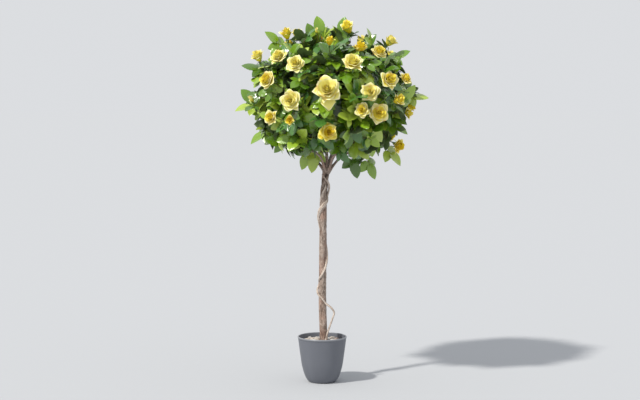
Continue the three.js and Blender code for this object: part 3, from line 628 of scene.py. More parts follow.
# %% Lines of the twined stems
# turn from the front, height, and how far the middle of the thin stem is off the trunk's skin
CLIMBER_TURNS = [
    (35, 0.260, 0.0052), (0, 0.275, 0.0042), (-50, 0.288, 0.0042), (-100, 0.301, 0.0042),
    (-150, 0.328, 0.0042), (-180, 0.380, 0.0042), (-187, 0.440, 0.0072), (-190, 0.478, 0.0122),
    (-192, 0.516, 0.0072), (-200, 0.570, 0.0042), (-225, 0.608, 0.0042), (-260, 0.634, 0.0042),
    (-310, 0.652, 0.0042), (-360, 0.667, 0.0042), (-405, 0.680, 0.0042),
]
TWINER_TURNS = [
    (-95, 0.326, -0.001), (-45, 0.340, 0.0015), (0, 0.357, 0.0015), (45, 0.380, 0.0015),
    (90, 0.412, 0.0015), (135, 0.445, 0.0015), (180, 0.478, 0.0015), (225, 0.512, 0.0015),
    (270, 0.544, 0.0015), (315, 0.564, 0.0015), (360, 0.579, 0.0015), (405, 0.592, 0.0015),
    (450, 0.606, 0.0), (478, 0.614, -0.0015),
]
SHOOT_TURNS = [
    (-66, 0.583, -0.0024), (-50, 0.595, 0.0004), (-26, 0.611, 0.0012), (-5, 0.625, 0.0012),
    (12, 0.638, 0.0004), (26, 0.648, -0.0024),
]
# the climber's bow, from the pebbles to where it meets the trunk
CLIMBER_BOW = [
    (0.007, -0.020, 0.1225), (0.018, -0.0195, 0.165), (0.034, -0.018, 0.212),
    (0.039, -0.0175, 0.229), (0.030, -0.018, 0.245),
]
# share of the length and radius
CLIMBER_RADII = [(0, 0.0027), (0.3, 0.0031), (0.62, 0.0034), (0.85, 0.0038), (1, 0.0020)]
TWINER_RADII = [
    (0, 0.0018), (0.08, 0.0033), (0.3, 0.0034), (0.5, 0.0046),
    (0.68, 0.0052), (0.8, 0.0066), (0.9, 0.0058), (1, 0.0018),
]
SHOOT_ENDS = 0.0012
SHOOT_BELLY = 0.0024
SHOOT_ROW = 70
print("climber by", len(CLIMBER_TURNS), "places, twiner by", len(TWINER_TURNS))


# %% Twined stems
def round_trunk(turns):
    """Places along a stem that winds round the trunk."""
    places = []
    for turn, height, stand_off in turns:
        middle = [np.interp(height, trunk_row[:, 2], trunk_row[:, k]) for k in range(2)] + [height]
        out = trunk_radius(trunk_share(height)) + stand_off
        places.append(np.array(middle) + heading(turn, 0) * out)
    return places


def radii_along(row, stops):
    shares, radii = zip(*stops)
    return np.interp(np.linspace(0, 1, len(row)), shares, radii)


climber_row = above_fill(smooth_row([*CLIMBER_BOW, *round_trunk(CLIMBER_TURNS)], LONG_ROW))
climber_radii = radii_along(climber_row, CLIMBER_RADII)
climber_relief = grain_relief(0.0005, 1.6, 0.02, 20, seed=3.0)
climber_mesh = rolled("climber_bark", climber_row, climber_radii, 20, climber_relief)
piece_from("climber_bark", climber_mesh, [pale_bark], ["climber"])

twiner_row = smooth_row(round_trunk(TWINER_TURNS), 300)
twiner_radii = radii_along(twiner_row, TWINER_RADII)
twiner_relief = grain_relief(0.0010, 1.8, 0.022, 14, seed=5.0)
twiner_mesh = rolled("twiner_bark", twiner_row, twiner_radii, 28, twiner_relief)
piece_from("twiner_bark", twiner_mesh, [pale_bark], ["twiner"])

shoot_row = smooth_row(round_trunk(SHOOT_TURNS), SHOOT_ROW)
shoot_radii = SHOOT_ENDS + SHOOT_BELLY * np.sin(np.pi * np.linspace(0, 1, SHOOT_ROW))
shoot_relief = grain_relief(0.0005, 1.6, 0.02, 20, seed=9.0)
shoot_mesh = rolled("shoot_bark", shoot_row, shoot_radii, 18, shoot_relief)
piece_from("shoot_bark", shoot_mesh, [pale_bark])

# %% [markdown]
# ## Boughs
# Eleven boughs leave the top of the stem, one straight up, four to the upper part of the head and
# six to the lower part. Each is one tapering limb that goes on as a thinner stem inside its part
# of the head, and every twig starts from those stems.

# %% Boughs
# reach from the fork's axis and height of the places that each kind of bough goes through
BOUGH_RISE = {
    "top": [(0, 0.704), (0.003, 0.770), (-0.005, 0.850), (0.002, 0.935)],
    "upper": [(0.006, 0.704), (0.011, 0.730), (0.034, 0.800), (0.076, 0.890), (0.104, 0.948)],
    "lower": [(0.004, 0.684), (0.024, 0.713), (0.052, 0.741), (0.108, 0.764)],
}
BOUGH_RADII = {"top": (0.0044, 0.0032), "upper": (0.0042, 0.0028), "lower": (0.0045, 0.003)}
BOUGH_STEPS = 70
BOUGH_SIDES = 18
SWAY = 0.005
STEM_LEAD = 0.030
STEM_STEPS = 24
STEM_TIP = 0.0012
ROOM_FOR_RELIEF = 0.94
COLLAR = (0.45, 11)

masses = [{"name": "top", "kind": "top", "turn": 0, "site": on_head(0, 90, SITE_REACH)}]
for kind, count, rise, first in (UPPER_MASSES, LOWER_MASSES):
    for i in range(count):
        turn = first + 360 / count * i
        site = on_head(turn, rise, SITE_REACH)
        masses.append({"name": f"{kind}_{i + 1}", "kind": kind, "turn": turn, "site": site})


def bough_points(mass):
    points = []
    for i, (reach, height) in enumerate(BOUGH_RISE[mass["kind"]]):
        sway = SWAY * math.sin(i * 2.1 + mass["turn"]) if i > 1 else 0
        place = heading(mass["turn"], 0) * reach + heading(mass["turn"] + 90, 0) * sway
        points.append(place + np.array([FORK_X, 0, height]))
    return points


for mass in masses:
    row = smooth_row(bough_points(mass), BOUGH_STEPS)
    onward = unit(row[-1] - row[-2])
    lead = [row[-1], row[-1] + onward * STEM_LEAD, mass["site"]]
    mass["stem"] = smooth_row(lead, STEM_STEPS)
    whole = np.vstack([row, mass["stem"][1:]])
    first, last = BOUGH_RADII[mass["kind"]]
    tapers = [np.linspace(first, last, BOUGH_STEPS), np.linspace(last, STEM_TIP, STEM_STEPS - 1)]
    radii = np.concatenate(tapers) * ROOM_FOR_RELIEF
    radii *= 1 + COLLAR[0] * np.exp(-np.arange(len(radii)) / COLLAR[1])
    relief = grain_relief(0.0006, 1.8, 0.022, 8, seed=1.7 * len(mass["name"]) + mass["turn"])
    name = "limb_" + mass["name"]
    limb = rolled(name, whole, radii, BOUGH_SIDES, relief)
    piece_from(name, limb, [bark], ["bough_" + mass["name"]])

# %% [markdown]
# ## Where the head grows
# The head is planned as sprays, each a place near its surface that a twig grows to. The roses
# that show in the photograph are listed one by one, with where they look. The back gets roses by
# an even rule, and the furthest leaf tips fix the outline. The remaining sprays fill the head,
# some of them deeper inside. All of them follow the same rule as the solids, and go on for longer.

# %% Sprays
# two numbers are a first value and how far the others go beyond it
BACK_BLOOMS = 20
BACK_TURNS = (98, 164)
BACK_RISES = (74, -112)
BACK_WIDTHS = (0.040, 0.030)
HALF_OPEN = 0.048
SIDE_TIPS = 10
SIDE_TURNS = 120
SIDE_RISES = (-45, 105)
SIDE_REACH = 1.14
LEAF_SPAN = 0.082
FILL_SPRAYS = 170
FILL_TURN = 0.754877666
FILL_LEVEL = 0.569840291
FILL_DEPTHS = (0.88, 0.88, 0.55)

# turn, rise, reach, width in millimetres, (turn, rise) that it looks to, form, shade
FRONT_BLOOMS = [
    (78, 78, 1.02, 49, (-50, 60), "half", 1), (-33, 71, 1, 19, (0, 75), "bud", 0),
    (-85, 59, 1.06, 45, (-30, 70), "half", 1), (-2, 52, 1, 33, (0, 75), "half", 2),
    (86, 48, 1.08, 46, (60, 50), "half", 0), (-87, 33, 1.07, 46, (-40, 55), "half", 0),
    (30, 46, 1, 50, (10, 85), "open", 2), (50, 41, 1, 52, (30, 40), "open", 1),
    (-52, 36, 1, 57, (-30, 45), "open", 0), (-29, 29, 1, 58, (-20, 25), "open", 0),
    (17, 30, 1, 68, (10, 45), "open", 0), (-53, 15, 1, 62, (-50, 20), "open", 1),
    (46, 15, 1, 60, (30, 25), "open", 1), (71, 16, 1, 46, (45, 45), "open", 1),
    (-3, 7, 1, 88, (0, 25), "droop_down", 0), (27, 5, 1, 62, (-10, 12), "open", 0),
    (-29, -2, 1, 66, (-15, 5), "open", 0), (-75, -2, 1, 27, (-60, 60), "bud", 0),
    (53, -2, 1, 42, (50, 25), "half", 1), (35, -12, 1, 68, (10, 5), "open", 1),
    (22, -10, 0.97, 48, (-20, 10), "open", 1), (77, -13, 1, 42, (80, 5), "open", 1),
    (-49, -16, 1, 50, (-40, 5), "open", 1), (-31, -18, 1, 32, (-20, -5), "half", 2),
    (-2, -28, 1, 56, (12, 8), "droop_left", 2), (85, -40, 1.1, 50, (60, -20), "open", 2),
]
# turn, rise and reach of the furthest leaf tips
OUTLINE_TIPS = [
    (-90, -8, 1.21), (-90, 25, 1.21), (-90, 50, 1.26), (-90, 75, 1.12), (-90, 82, 1.2), (90, 82, 1.19),
    (90, 59, 1.08), (90, 36, 1.2), (90, 1, 1.22), (90, -28, 1.1), (90, -48, 1.33), (90, -64, 1.33),
    (80, -74, 1.24), (-80, -77, 1.14), (-100, -70, 1.14), (-90, -47, 1.06), (-90, -33, 1.21),
]
growth = np.random.default_rng(43)
sprays = []
for turn, rise, reach, wide, looks, form, shade in FRONT_BLOOMS:
    sprays.append({
        "kind": "bloom", "place": on_head(turn, rise, reach), "face": heading(*looks),
        "wide": wide / 1000, "form": form, "shade": shade,
    })
for i in range(BACK_BLOOMS):
    turn = BACK_TURNS[0] + BACK_TURNS[1] * ((0.35 + i * GOLDEN_TURN) % 1)
    rise = BACK_RISES[0] + BACK_RISES[1] * (i + 0.5) / BACK_BLOOMS
    wide = BACK_WIDTHS[0] + BACK_WIDTHS[1] * growth.random()
    face = heading(turn + 40 * growth.random() - 20, rise * 0.6 + 15)
    sprays.append({
        "kind": "bloom", "place": on_head(turn, rise, 1), "face": face,
        "wide": wide, "form": "half" if wide < HALF_OPEN else "open", "shade": i % 3,
    })
side_tips = []
for i in range(SIDE_TIPS):
    turn = (180 if i % 2 else 0) + SIDE_TURNS * ((0.2 + i * GOLDEN_TURN) % 1 - 0.5)
    rise = SIDE_RISES[0] + SIDE_RISES[1] * (i + 0.5) / SIDE_TIPS
    side_tips.append((turn, rise, SIDE_REACH))
for turn, rise, reach in OUTLINE_TIPS + side_tips:
    tip = on_head(turn, rise, reach)
    axis = unit(tip - HEAD)
    sprays.append({"kind": "tip", "axis": axis, "place": tip - axis * LEAF_SPAN})
for i in range(FILL_SPRAYS):
    turn = 360 * ((0.5 + i * FILL_TURN) % 1)
    rise = math.degrees(math.asin(1.9 * ((0.5 + i * FILL_LEVEL) % 1) - 0.93))
    sprays.append({"kind": "leaf", "place": on_head(turn, rise, FILL_DEPTHS[i % 3])})
for spray in sprays:
    gaps = [np.linalg.norm(mass["site"] - spray["place"]) for mass in masses]
    spray["mass"] = masses[int(np.argmin(gaps))]
roses = [spray for spray in sprays if spray["kind"] == "bloom"]
print(len(sprays), "sprays,", len(roses), "roses")

# %% [markdown]
# ## One leaflet
# A rose leaf has three or five leaflets with toothed edges, and each is folded a little along its
# rib and arches down to its tip. A grid is squeezed into the outline, and a coarser one closes it
# underneath, so the blade is a thin solid of 72 faces. Eight shapes differ in fold and arch.

# %% Leaflets
LEAF_LENGTH = 0.054
LEAF_WIDTH = 0.0365
LEAF_ROWS = 12
LEAF_SHAPES = 8
# as shares of a leaflet's length
TOOTH = 0.07
TOOTH_SWEEP = 0.018
BLADE_THICKNESS = 0.009
SHAPE_TOUCHING = 1e-5
leaf_dice = np.random.default_rng(11)


def flat_grid(bm, rows, columns):
    """Corners of a flat grid from -1 to 1, with its rows along X, to be pushed into a shape."""
    return bmesh.ops.create_grid(bm, x_segments=rows, y_segments=columns, size=1)["verts"]


def faces_of(corners):
    return {face for vert in corners for face in vert.link_faces}


def blade_half(share):
    """The outline of a leaflet, widest a little before its middle."""
    return 2.37 * share**0.50 * (1 - share) ** 0.80 * LEAF_WIDTH / LEAF_LENGTH / 2


def leaflet_shape():
    """X runs from root to tip, Y across and Z up, for a leaflet of length 1."""
    fold, arch = 0.10 + 0.45 * leaf_dice.random(), 0.04 + 0.26 * leaf_dice.random()
    wave, roll = 0.03 * leaf_dice.random(), 0.10 * (leaf_dice.random() - 0.5)
    bm = bmesh.new()
    for columns, under in ((4, False), (2, True)):
        made = flat_grid(bm, LEAF_ROWS, columns)
        for face in faces_of(made):
            face.material_index = int(under)
        for vert in made:
            ahead, side = (vert.co.x + 1) / 2, vert.co.y
            row = round(ahead * LEAF_ROWS)
            half = 0 if row in (0, LEAF_ROWS) else blade_half(ahead)
            edge = abs(side) > 0.99
            toothed = edge and row % 2
            aside = side * half * (1 + (TOOTH if toothed else 0))
            height = fold * abs(aside) - 0.9 * aside**2 - arch * ahead**2
            height += wave * math.sin(9 * ahead + 3 * side) * abs(side) + roll * aside * ahead
            if under and not edge:
                height -= BLADE_THICKNESS
            vert.co = Vector((ahead - (TOOTH_SWEEP if toothed else 0), aside, height))
    bmesh.ops.remove_doubles(bm, verts=bm.verts, dist=SHAPE_TOUCHING)
    bmesh.ops.recalc_face_normals(bm, faces=bm.faces)
    underside = np.array([face.material_index == 1 for face in bm.faces])
    return (*arrays_of(bm), underside)


leaflet_shapes, leaflet_undersides = {}, {}
for i in range(LEAF_SHAPES):
    places, faces, leaflet_undersides[i] = leaflet_shape()
    leaflet_shapes[i] = (places, faces)
print("faces of a leaflet", len(leaflet_shapes[0][1]))

# %% [markdown]
# ## Twigs and leaves
# A twig leaves its stem, bends a little upwards and ends in a rose or a leaf. Leaves stand along
# its outer part, each turned on from the one before by the golden angle, with its upper side to
# the light. A leaf that would hide a rose, leave the head or crowd another is turned again, and
# after some tries it is left out. How far out it may reach is drawn for every leaf, because one
# limit for all would clip the head to a ball.

# %% Leaflets of a leaf
STALK = 0.026
SIDE_SIZES = (0.80, 0.12)


def leaf_leaflets(foot, axis, normal, size, pairs):
    """Root, axis, upper side and size of each leaflet of a leaf."""
    beside = np.cross(axis, normal)
    made = [(foot + axis * STALK * size, axis, normal, size)]
    for pair in range(pairs):
        joint = foot + axis * STALK * size * (0.62 - 0.34 * pair)
        for side in (-1, 1):
            aside = unit(axis * (0.42 - 0.1 * pair) + beside * side - normal * 0.12)
            lean = unit(normal + beside * side * 0.18)
            smaller = size * (SIDE_SIZES[0] - SIDE_SIZES[1] * pair)
            made.append((joint, aside, across(aside, lean), smaller))
    return made


def middle_of(leaflet):
    root, axis, normal, size = leaflet
    return root + axis * (LEAF_LENGTH * size * 0.5)


# %% Rules for a leaf
CROWDED = 0.0105
LIMB_ROOM = 0.016
OPEN_UNDER_FORK = 0.105
OPEN_BELOW = 0.762
# ahead, beyond and beside a rose, in its widths
ROSE_ROOM = (-0.35, 1.6, 0.62)
trunk_marks = np.vstack([trunk_row[::12], *(smooth_row(bough_points(mass), 24) for mass in masses)])
taken = np.zeros((0, 3))
leaves, stalks = [], []


def hides_rose(middles):
    nearest, furthest, beside = ROSE_ROOM
    for rose in roses:
        away = middles - rose["place"]
        ahead = away @ rose["face"]
        aside = np.linalg.norm(away - np.outer(ahead, rose["face"]), axis=1)
        wide = rose["wide"]
        if np.any((ahead > nearest * wide) & (ahead < furthest * wide) & (aside < beside * wide)):
            return True
    return False


def nearest_gap(marks, places):
    return np.linalg.norm(marks[None] - places[:, None], axis=2).min()


def fits(leaflets, reach):
    """Whether a leaf keeps to the head and clear of the fork, the roses, limbs and other leaves."""
    middles = np.array([middle_of(leaflet) for leaflet in leaflets])
    under_fork = np.hypot(middles[:, 0] - FORK_X, middles[:, 1]) < OPEN_UNDER_FORK
    if np.any(under_fork & (middles[:, 2] < OPEN_BELOW)):
        return False
    tips = np.array([root + axis * LEAF_LENGTH * size for root, axis, normal, size in leaflets])
    if np.any(head_reach(tips) > reach):
        return False
    if hides_rose(np.vstack([middles, tips, (middles + tips) / 2])):
        return False
    if nearest_gap(trunk_marks, middles) < LIMB_ROOM:
        return False
    return not (len(taken) and nearest_gap(taken, middles) < CROWDED)


# %% Placing a leaf
LEAF_REACH = (0.98, 1.14)
STALK_RUN_IN = 0.006
TRIES = 14


def keep_leaf(foot, axis, leaflets, shade):
    global taken
    taken = np.vstack([taken, [middle_of(leaflet) for leaflet in leaflets]])
    stalks.append((foot, leaflets[0][0] + axis * STALK_RUN_IN, leaflets))
    leaves.extend((leaflet, shade) for leaflet in leaflets)


def chance_leaf(foot, ahead, first_turn, shade):
    """Turns a leaf of a twig until it fits, and leaves it out where it never does."""
    outward = outward_at(foot)
    level = across(ahead, outward)
    beside = np.cross(ahead, level)
    reach = growth.uniform(*LEAF_REACH)
    for attempt in range(TRIES):
        turn = first_turn + attempt * 0.7 + 0.4 * growth.random()
        spread = level * math.cos(turn) + beside * math.sin(turn)
        onward = ahead * (0.35 + 0.5 * growth.random())
        axis = unit(spread + onward + outward * 0.35 + np.array([0, 0, -0.12]))
        tilt = growth.random(3) * 2 - 1
        normal = across(axis, outward + 0.75 * tilt + np.array([0, -0.12, 0.6]))
        size = 0.62 + 0.38 * growth.random()
        leaflets = leaf_leaflets(foot, axis, normal, size, 1 if growth.random() < 0.7 else 2)
        if fits(leaflets, reach):
            keep_leaf(foot, axis, leaflets, shade)
            return


# %% Growing
TWIG_STARTS = (0.55, 0.8, 0.35, 0.95, 0.2)
TWIG_STEPS = 14
TWIG_RADII = (0.0017, 0.0011)
SHORT_TWIG = 0.06
LEAVES_ON = {"bloom": 4, "tip": 4, "leaf": 6}
LEAFY_PART = (0.97, 0.40)
BLOOM_ROOM = 0.06
# as many as the leaf's shades further down
SHADE_COUNT = 6
twig_rows = []


def twig_row(spray, start, end):
    """A twig's places, bent up and on along its limb, and straight into what it carries."""
    stem = spray["mass"]["stem"]
    length = np.linalg.norm(end - start)
    onward = unit(stem[-1] - stem[0])
    bend = (start + end) / 2 + onward * 0.06 * length + np.array([0, 0, 0.05 * length])
    last_way = spray.get("face", spray.get("axis", outward_at(end)))
    late = end - last_way * 0.22 * length
    places = [start, bend, (late * 2 + bend) / 3, end] if length > SHORT_TWIG else [start, end]
    return smooth_row(places, TWIG_STEPS)


for index, spray in enumerate(sprays):
    stem = spray["mass"]["stem"]
    share = TWIG_STARTS[index % len(TWIG_STARTS)]
    start = stem[round(share * (len(stem) - 1))]
    end = spray["place"]
    if spray["kind"] == "bloom":
        end = end - spray["face"] * 0.40 * spray["wide"]
    row = twig_row(spray, start, end)
    twig_rows.append((row, *TWIG_RADII))
    shade = int(growth.integers(0, SHADE_COUNT))
    if spray["kind"] == "tip":
        normal = across(spray["axis"], np.array([0, -0.55, 0.8]))
        leaflets = leaf_leaflets(spray["place"], spray["axis"], normal, 1.0, 1)
        keep_leaf(spray["place"], spray["axis"], leaflets, shade)
    shares = np.linspace(*LEAFY_PART, LEAVES_ON[spray["kind"]])
    if spray["kind"] == "bloom":
        shares = shares - BLOOM_ROOM
    last = TWIG_STEPS - 1
    for i, along in enumerate(shares):
        step = round(along * last)
        ahead = unit(row[min(step + 1, last)] - row[max(step - 1, 0)])
        leaf_shade = shade if i % 2 else int(growth.integers(0, SHADE_COUNT))
        chance_leaf(row[step], ahead, i * GOLDEN_ANGLE + index, leaf_shade)
print(len(leaves), "leaflets")

# %% [markdown]
# ## The look of a leaf
# The leaves are glossy and of several greens, paler and duller underneath. The greens from dark
# to bright lime are partly the leaves' own varied greens and partly painted light: lit and shaded
# greens, the palest standing for light that shines through a leaf. Every face has the plain colour
# of its leaf's material. The rib and the side veins are relief, and follow each leaflet because
# every copy keeps its places on its own blade as an attribute.

# %% Leaf pieces
# partly the leaves' own greens, dealt at random, and partly painted light: the pale limes stand for
# light shining through a leaf, the darkest for shade
LEAF_SHADES = [
    (0.128, 0.264, 0.008), (0.194, 0.348, 0.012), (0.290, 0.450, 0.024),
    (0.075, 0.174, 0.008), (0.067, 0.190, 0.030), (0.375, 0.512, 0.048),
]
LEAF_ROUGHNESS = (0.27, 0.27, 0.30, 0.19, 0.17, 0.30)
LEAF_COAT = {"Coat_Weight": 0.9, "Coat_Roughness": 0.23}
UNDERSIDE_SHADE = (0.15, 0.215, 0.085)
UNDERSIDE = len(LEAF_SHADES)
VEIN_DEPTH = 0.0008
VEIN_BEAT = 44.0
VEIN_SLANT = 42.0
VEIN_SHARPNESS = 5.0
RIB_NARROWNESS = 34.0
RIB_DEPTH = 1.6


def veined(material, strength):
    """Sinks a rib and slanting side veins into every leaflet, from its place on its own blade."""
    nodes, links = material.node_tree.nodes, material.node_tree.links

    def step(kind, *values):
        node = nodes.new("ShaderNodeMath")
        node.operation = kind
        for socket, value in zip(node.inputs, values):
            if isinstance(value, (int, float)):
                socket.default_value = value
            else:
                links.new(value, socket)
        return node.outputs[0]

    blade = nodes.new("ShaderNodeAttribute")
    blade.attribute_name = "blade"
    parts = nodes.new("ShaderNodeSeparateXYZ")
    links.new(blade.outputs["Vector"], parts.inputs["Vector"])
    aside = step("ABSOLUTE", parts.outputs["Y"])
    beat = step("MULTIPLY", parts.outputs["X"], VEIN_BEAT)
    slanted = step("SUBTRACT", beat, step("MULTIPLY", aside, VEIN_SLANT))
    wave = step("MULTIPLY_ADD", step("SINE", slanted), 0.5, 0.5)
    vein = step("POWER", wave, VEIN_SHARPNESS)
    rib = step("MAXIMUM", step("SUBTRACT", 1.0, step("MULTIPLY", aside, RIB_NARROWNESS)), 0.0)
    sunk = step("MULTIPLY", step("MAXIMUM", vein, step("MULTIPLY", rib, RIB_DEPTH)), -1.0)
    return bumped(material, sunk, strength, VEIN_DEPTH)


leaf_finishes = []
for i, (shade, rough) in enumerate(zip(LEAF_SHADES, LEAF_ROUGHNESS)):
    green = finish(f"leaf_{i}", shade, rough, grain=700, bump=0.12, **LEAF_COAT)
    leaf_finishes.append(veined(green, 0.34))
leaf_under = finish("leaf_under", UNDERSIDE_SHADE, 0.6, grain=700, bump=0.15)
leaf_finishes.append(veined(leaf_under, 0.8))
leaf_pieces = {(height, side): [] for height in ("upper", "lower") for side in ("front", "back")}
for (root, axis, normal, size), shade in leaves:
    turn = axes_turn(axis, np.cross(normal, axis), normal, LEAF_LENGTH * size)
    key = int(leaf_dice.integers(LEAF_SHAPES))
    height = "upper" if root[2] > HEAD[2] else "lower"
    side = "front" if root[1] < 0 else "back"
    slots = np.where(leaflet_undersides[key], UNDERSIDE, shade)
    leaf_pieces[height, side].append((key, turn, root, slots))
masses_of = {
    ("upper", "front"): ("top", "upper_1"),
    ("upper", "back"): ("upper_2", "upper_3", "upper_4"),
    ("lower", "front"): ("lower_4", "lower_5", "lower_6"),
    ("lower", "back"): ("lower_1", "lower_2", "lower_3"),
}
for (height, side), copies in leaf_pieces.items():
    name = f"leaves_{height}_{side}"
    replaced = ["foliage_" + mass for mass in masses_of[height, side]]
    leaf_mesh = joined(name, leaflet_shapes, copies, own_places="blade")
    piece_from(name, leaf_mesh, leaf_finishes, replaced)

# %% [markdown]
# ## Twigs and leaf stalks
# Both are thin closed limbs without relief, and there are thousands, so they need few sides and
# one mesh for each kind. A circle is extruded into one straight rod for every number of places,
# and each limb is a copy of that rod, bent along its own row. The same faces serve them all.

# %% Twig pieces
STALK_RADII = (0.0010, 0.0006)
JOINT_RADII = (0.0007, 0.0005)
JOINT_SPAN = (0.0004, 0.0035)
TWIG_STOPS = [(0.42, (0.150, 0.068, 0.034)), (0.62, (0.095, 0.150, 0.038))]


def straight_rod(sides, places):
    """A closed rod of radius 1 up the Z axis, with a ring of corners at each height from 0."""
    bm = bmesh.new()
    bmesh.ops.create_circle(bm, cap_ends=False, segments=sides, radius=1)
    rim = bm.edges[:]
    for height in range(1, places):
        made = bmesh.ops.extrude_edge_only(bm, edges=rim)["geom"]
        rim = [item for item in made if isinstance(item, bmesh.types.BMEdge) and item.is_boundary]
        for vert in {vert for edge in rim for vert in edge.verts}:
            vert.co.z = height
    open_edges = [edge for edge in bm.edges if edge.is_boundary]
    bmesh.ops.holes_fill(bm, edges=open_edges, sides=0)
    bmesh.ops.recalc_face_normals(bm, faces=bm.faces)
    return arrays_of(bm)


def bars(name, rows, sides):
    """Many thin closed limbs as one mesh. A row is (places, first radius, last radius)."""
    rods = {count: straight_rod(sides, count) for count in sorted({len(row[0]) for row in rows})}
    shapes, copies = {}, []
    for i, (row, first, last) in enumerate(rows):
        points, faces = rods[len(row)]
        step = np.round(points[:, 2]).astype(int)
        side, other = carried_frames(row)
        radii = np.linspace(first, last, len(row))
        # the circle starts on Y, so that is the side, and the other direction is against X
        out = side[step] * points[:, 1:2] - other[step] * points[:, 0:1]
        shapes[i] = (row[step] + out * radii[step, None], faces)
        copies.append((i, np.eye(3), np.zeros(3), 0))
    print(name, len(rows), "limbs from", len(rods), "rods of", sides, "sides")
    return joined(name, shapes, copies)


stalk_rows = []
for foot, end, leaflets in stalks:
    stalk_rows.append((np.array([foot, foot * 0.5 + end * 0.5, end]), *STALK_RADII))
    for root, axis, normal, size in leaflets[1:]:
        joint = np.array([root - axis * JOINT_SPAN[0], root + axis * JOINT_SPAN[1]])
        stalk_rows.append((joint, *JOINT_RADII))
twig_green = finish("twig_green", TWIG_STOPS[1][1], 0.55, grain=500, bump=0.3)
tinted(twig_green, TWIG_STOPS, scale=30)
piece_from("twigs", bars("twigs", twig_rows, 6), [twig_green])
piece_from("leaf_stalks", bars("leaf_stalks", stalk_rows, 4), [twig_green])

# %% [markdown]
# ## One petal and one rose
# A rose opens from a tight twist: the inner petals stand up and wrap round each other, and each
# ring further out leans back more, until the outermost roll over with a small point at their
# tips. One petal maker with a few angles gives all the rings. A petal is again a grid, with a
# second one closing its underside, and its rows take their shade from the heart to the edge.
# The near-white cream at the edges is partly the petals' own paler edge and partly a painted
# highlight.

# %% Rings of petals
HEART, GOLD, YELLOW, LEMON, PALE, CREAM, BLUSH, CALYX = range(8)
OUTSIDE = (GOLD, GOLD, YELLOW, YELLOW, LEMON, LEMON, LEMON)
# how many, foot reach, foot height, length, width, lean at foot and tip in degrees, how late the
# tip leans out, how pointed, and the shades of the rows from foot to edge
OPEN_RINGS = [
    (3, 0.008, -0.30, 0.60, 0.26, 0, 8, 2.0, 0.10, (HEART, HEART, GOLD, GOLD, YELLOW, YELLOW, LEMON)),
    (3, 0.022, -0.30, 0.59, 0.36, 4, 24, 3.5, 0.12, (HEART, HEART, GOLD, GOLD, YELLOW, YELLOW, LEMON)),
    (4, 0.032, -0.30, 0.58, 0.44, 7, 38, 4.0, 0.14, (HEART, HEART, GOLD, YELLOW, YELLOW, LEMON, LEMON)),
    (4, 0.040, -0.30, 0.57, 0.54, 10, 56, 4.0, 0.16, (HEART, GOLD, GOLD, YELLOW, YELLOW, LEMON, LEMON)),
    (5, 0.042, -0.30, 0.55, 0.58, 15, 80, 4.0, 0.26, (HEART, GOLD, YELLOW, YELLOW, LEMON, LEMON, CREAM)),
    (5, 0.044, -0.30, 0.57, 0.67, 22, 102, 3.4, 0.38, (GOLD, GOLD, YELLOW, YELLOW, LEMON, PALE, CREAM)),
    (5, 0.046, -0.30, 0.60, 0.74, 30, 126, 3.0, 0.48, (GOLD, YELLOW, YELLOW, LEMON, LEMON, PALE, CREAM)),
]
HALF_RINGS = [
    (3, 0.010, -0.36, 0.82, 0.32, 0, 6, 2.0, 0.12, (HEART, HEART, GOLD, GOLD, YELLOW, YELLOW, LEMON)),
    (3, 0.030, -0.36, 0.82, 0.46, 3, 24, 4.0, 0.14, (HEART, HEART, GOLD, GOLD, YELLOW, YELLOW, LEMON)),
    (4, 0.040, -0.36, 0.82, 0.58, 7, 44, 4.5, 0.18, (HEART, GOLD, GOLD, YELLOW, YELLOW, LEMON, LEMON)),
    (4, 0.045, -0.36, 0.80, 0.72, 11, 72, 4.5, 0.34, (HEART, GOLD, YELLOW, YELLOW, LEMON, LEMON, CREAM)),
    (4, 0.050, -0.36, 0.79, 0.84, 16, 104, 4.2, 0.44, (GOLD, GOLD, YELLOW, LEMON, LEMON, PALE, CREAM)),
]
BUD_RINGS = [
    (3, 0.005, -0.45, 1.02, 0.52, 4, -2, 2.0, 0.30, (GOLD, GOLD, YELLOW, YELLOW, YELLOW, LEMON, LEMON)),
    (4, 0.050, -0.45, 0.96, 0.78, 9, 2, 1.0, 0.38, (GOLD, GOLD, YELLOW, YELLOW, LEMON, LEMON, CREAM)),
]
# the one loose petal of a drooping rose
DROOPING = (
    1, 0.090, -0.26, 0.58, 0.48, 62, 150, 1.6, 0.40, (GOLD, YELLOW, LEMON, LEMON, LEMON, PALE, CREAM)
)

# %% Petals
PETAL_ROWS = 7
PETAL_COLUMNS = 8
BLUSHING = 0.3
PATH_STEPS = 24
# as a share of a rose's width
PETAL_THICKNESS = 0.007
rose_dice = np.random.default_rng(23)


def spun(x, y, z, turn):
    """A place turned about the rose's axis."""
    cosine, sine = math.cos(turn), math.sin(turn)
    return Vector((x * cosine - y * sine, x * sine + y * cosine, z))


def petal_path(foot_reach, foot_height, length, leans, late, ahead):
    """Reach and height on a petal's middle line, which leans out the more the nearer its tip is."""
    reach, height = foot_reach, foot_height
    for i in range(PATH_STEPS):
        here = (i + 0.5) / PATH_STEPS
        if here > ahead:
            break
        cup = min(60, 3.2 * leans[0]) * (1 - here) ** 4
        angle = math.radians(leans[0] + (leans[1] - leans[0]) * here**late + cup)
        reach += math.sin(angle) * length / PATH_STEPS
        height += math.cos(angle) * length / PATH_STEPS
    return reach, height


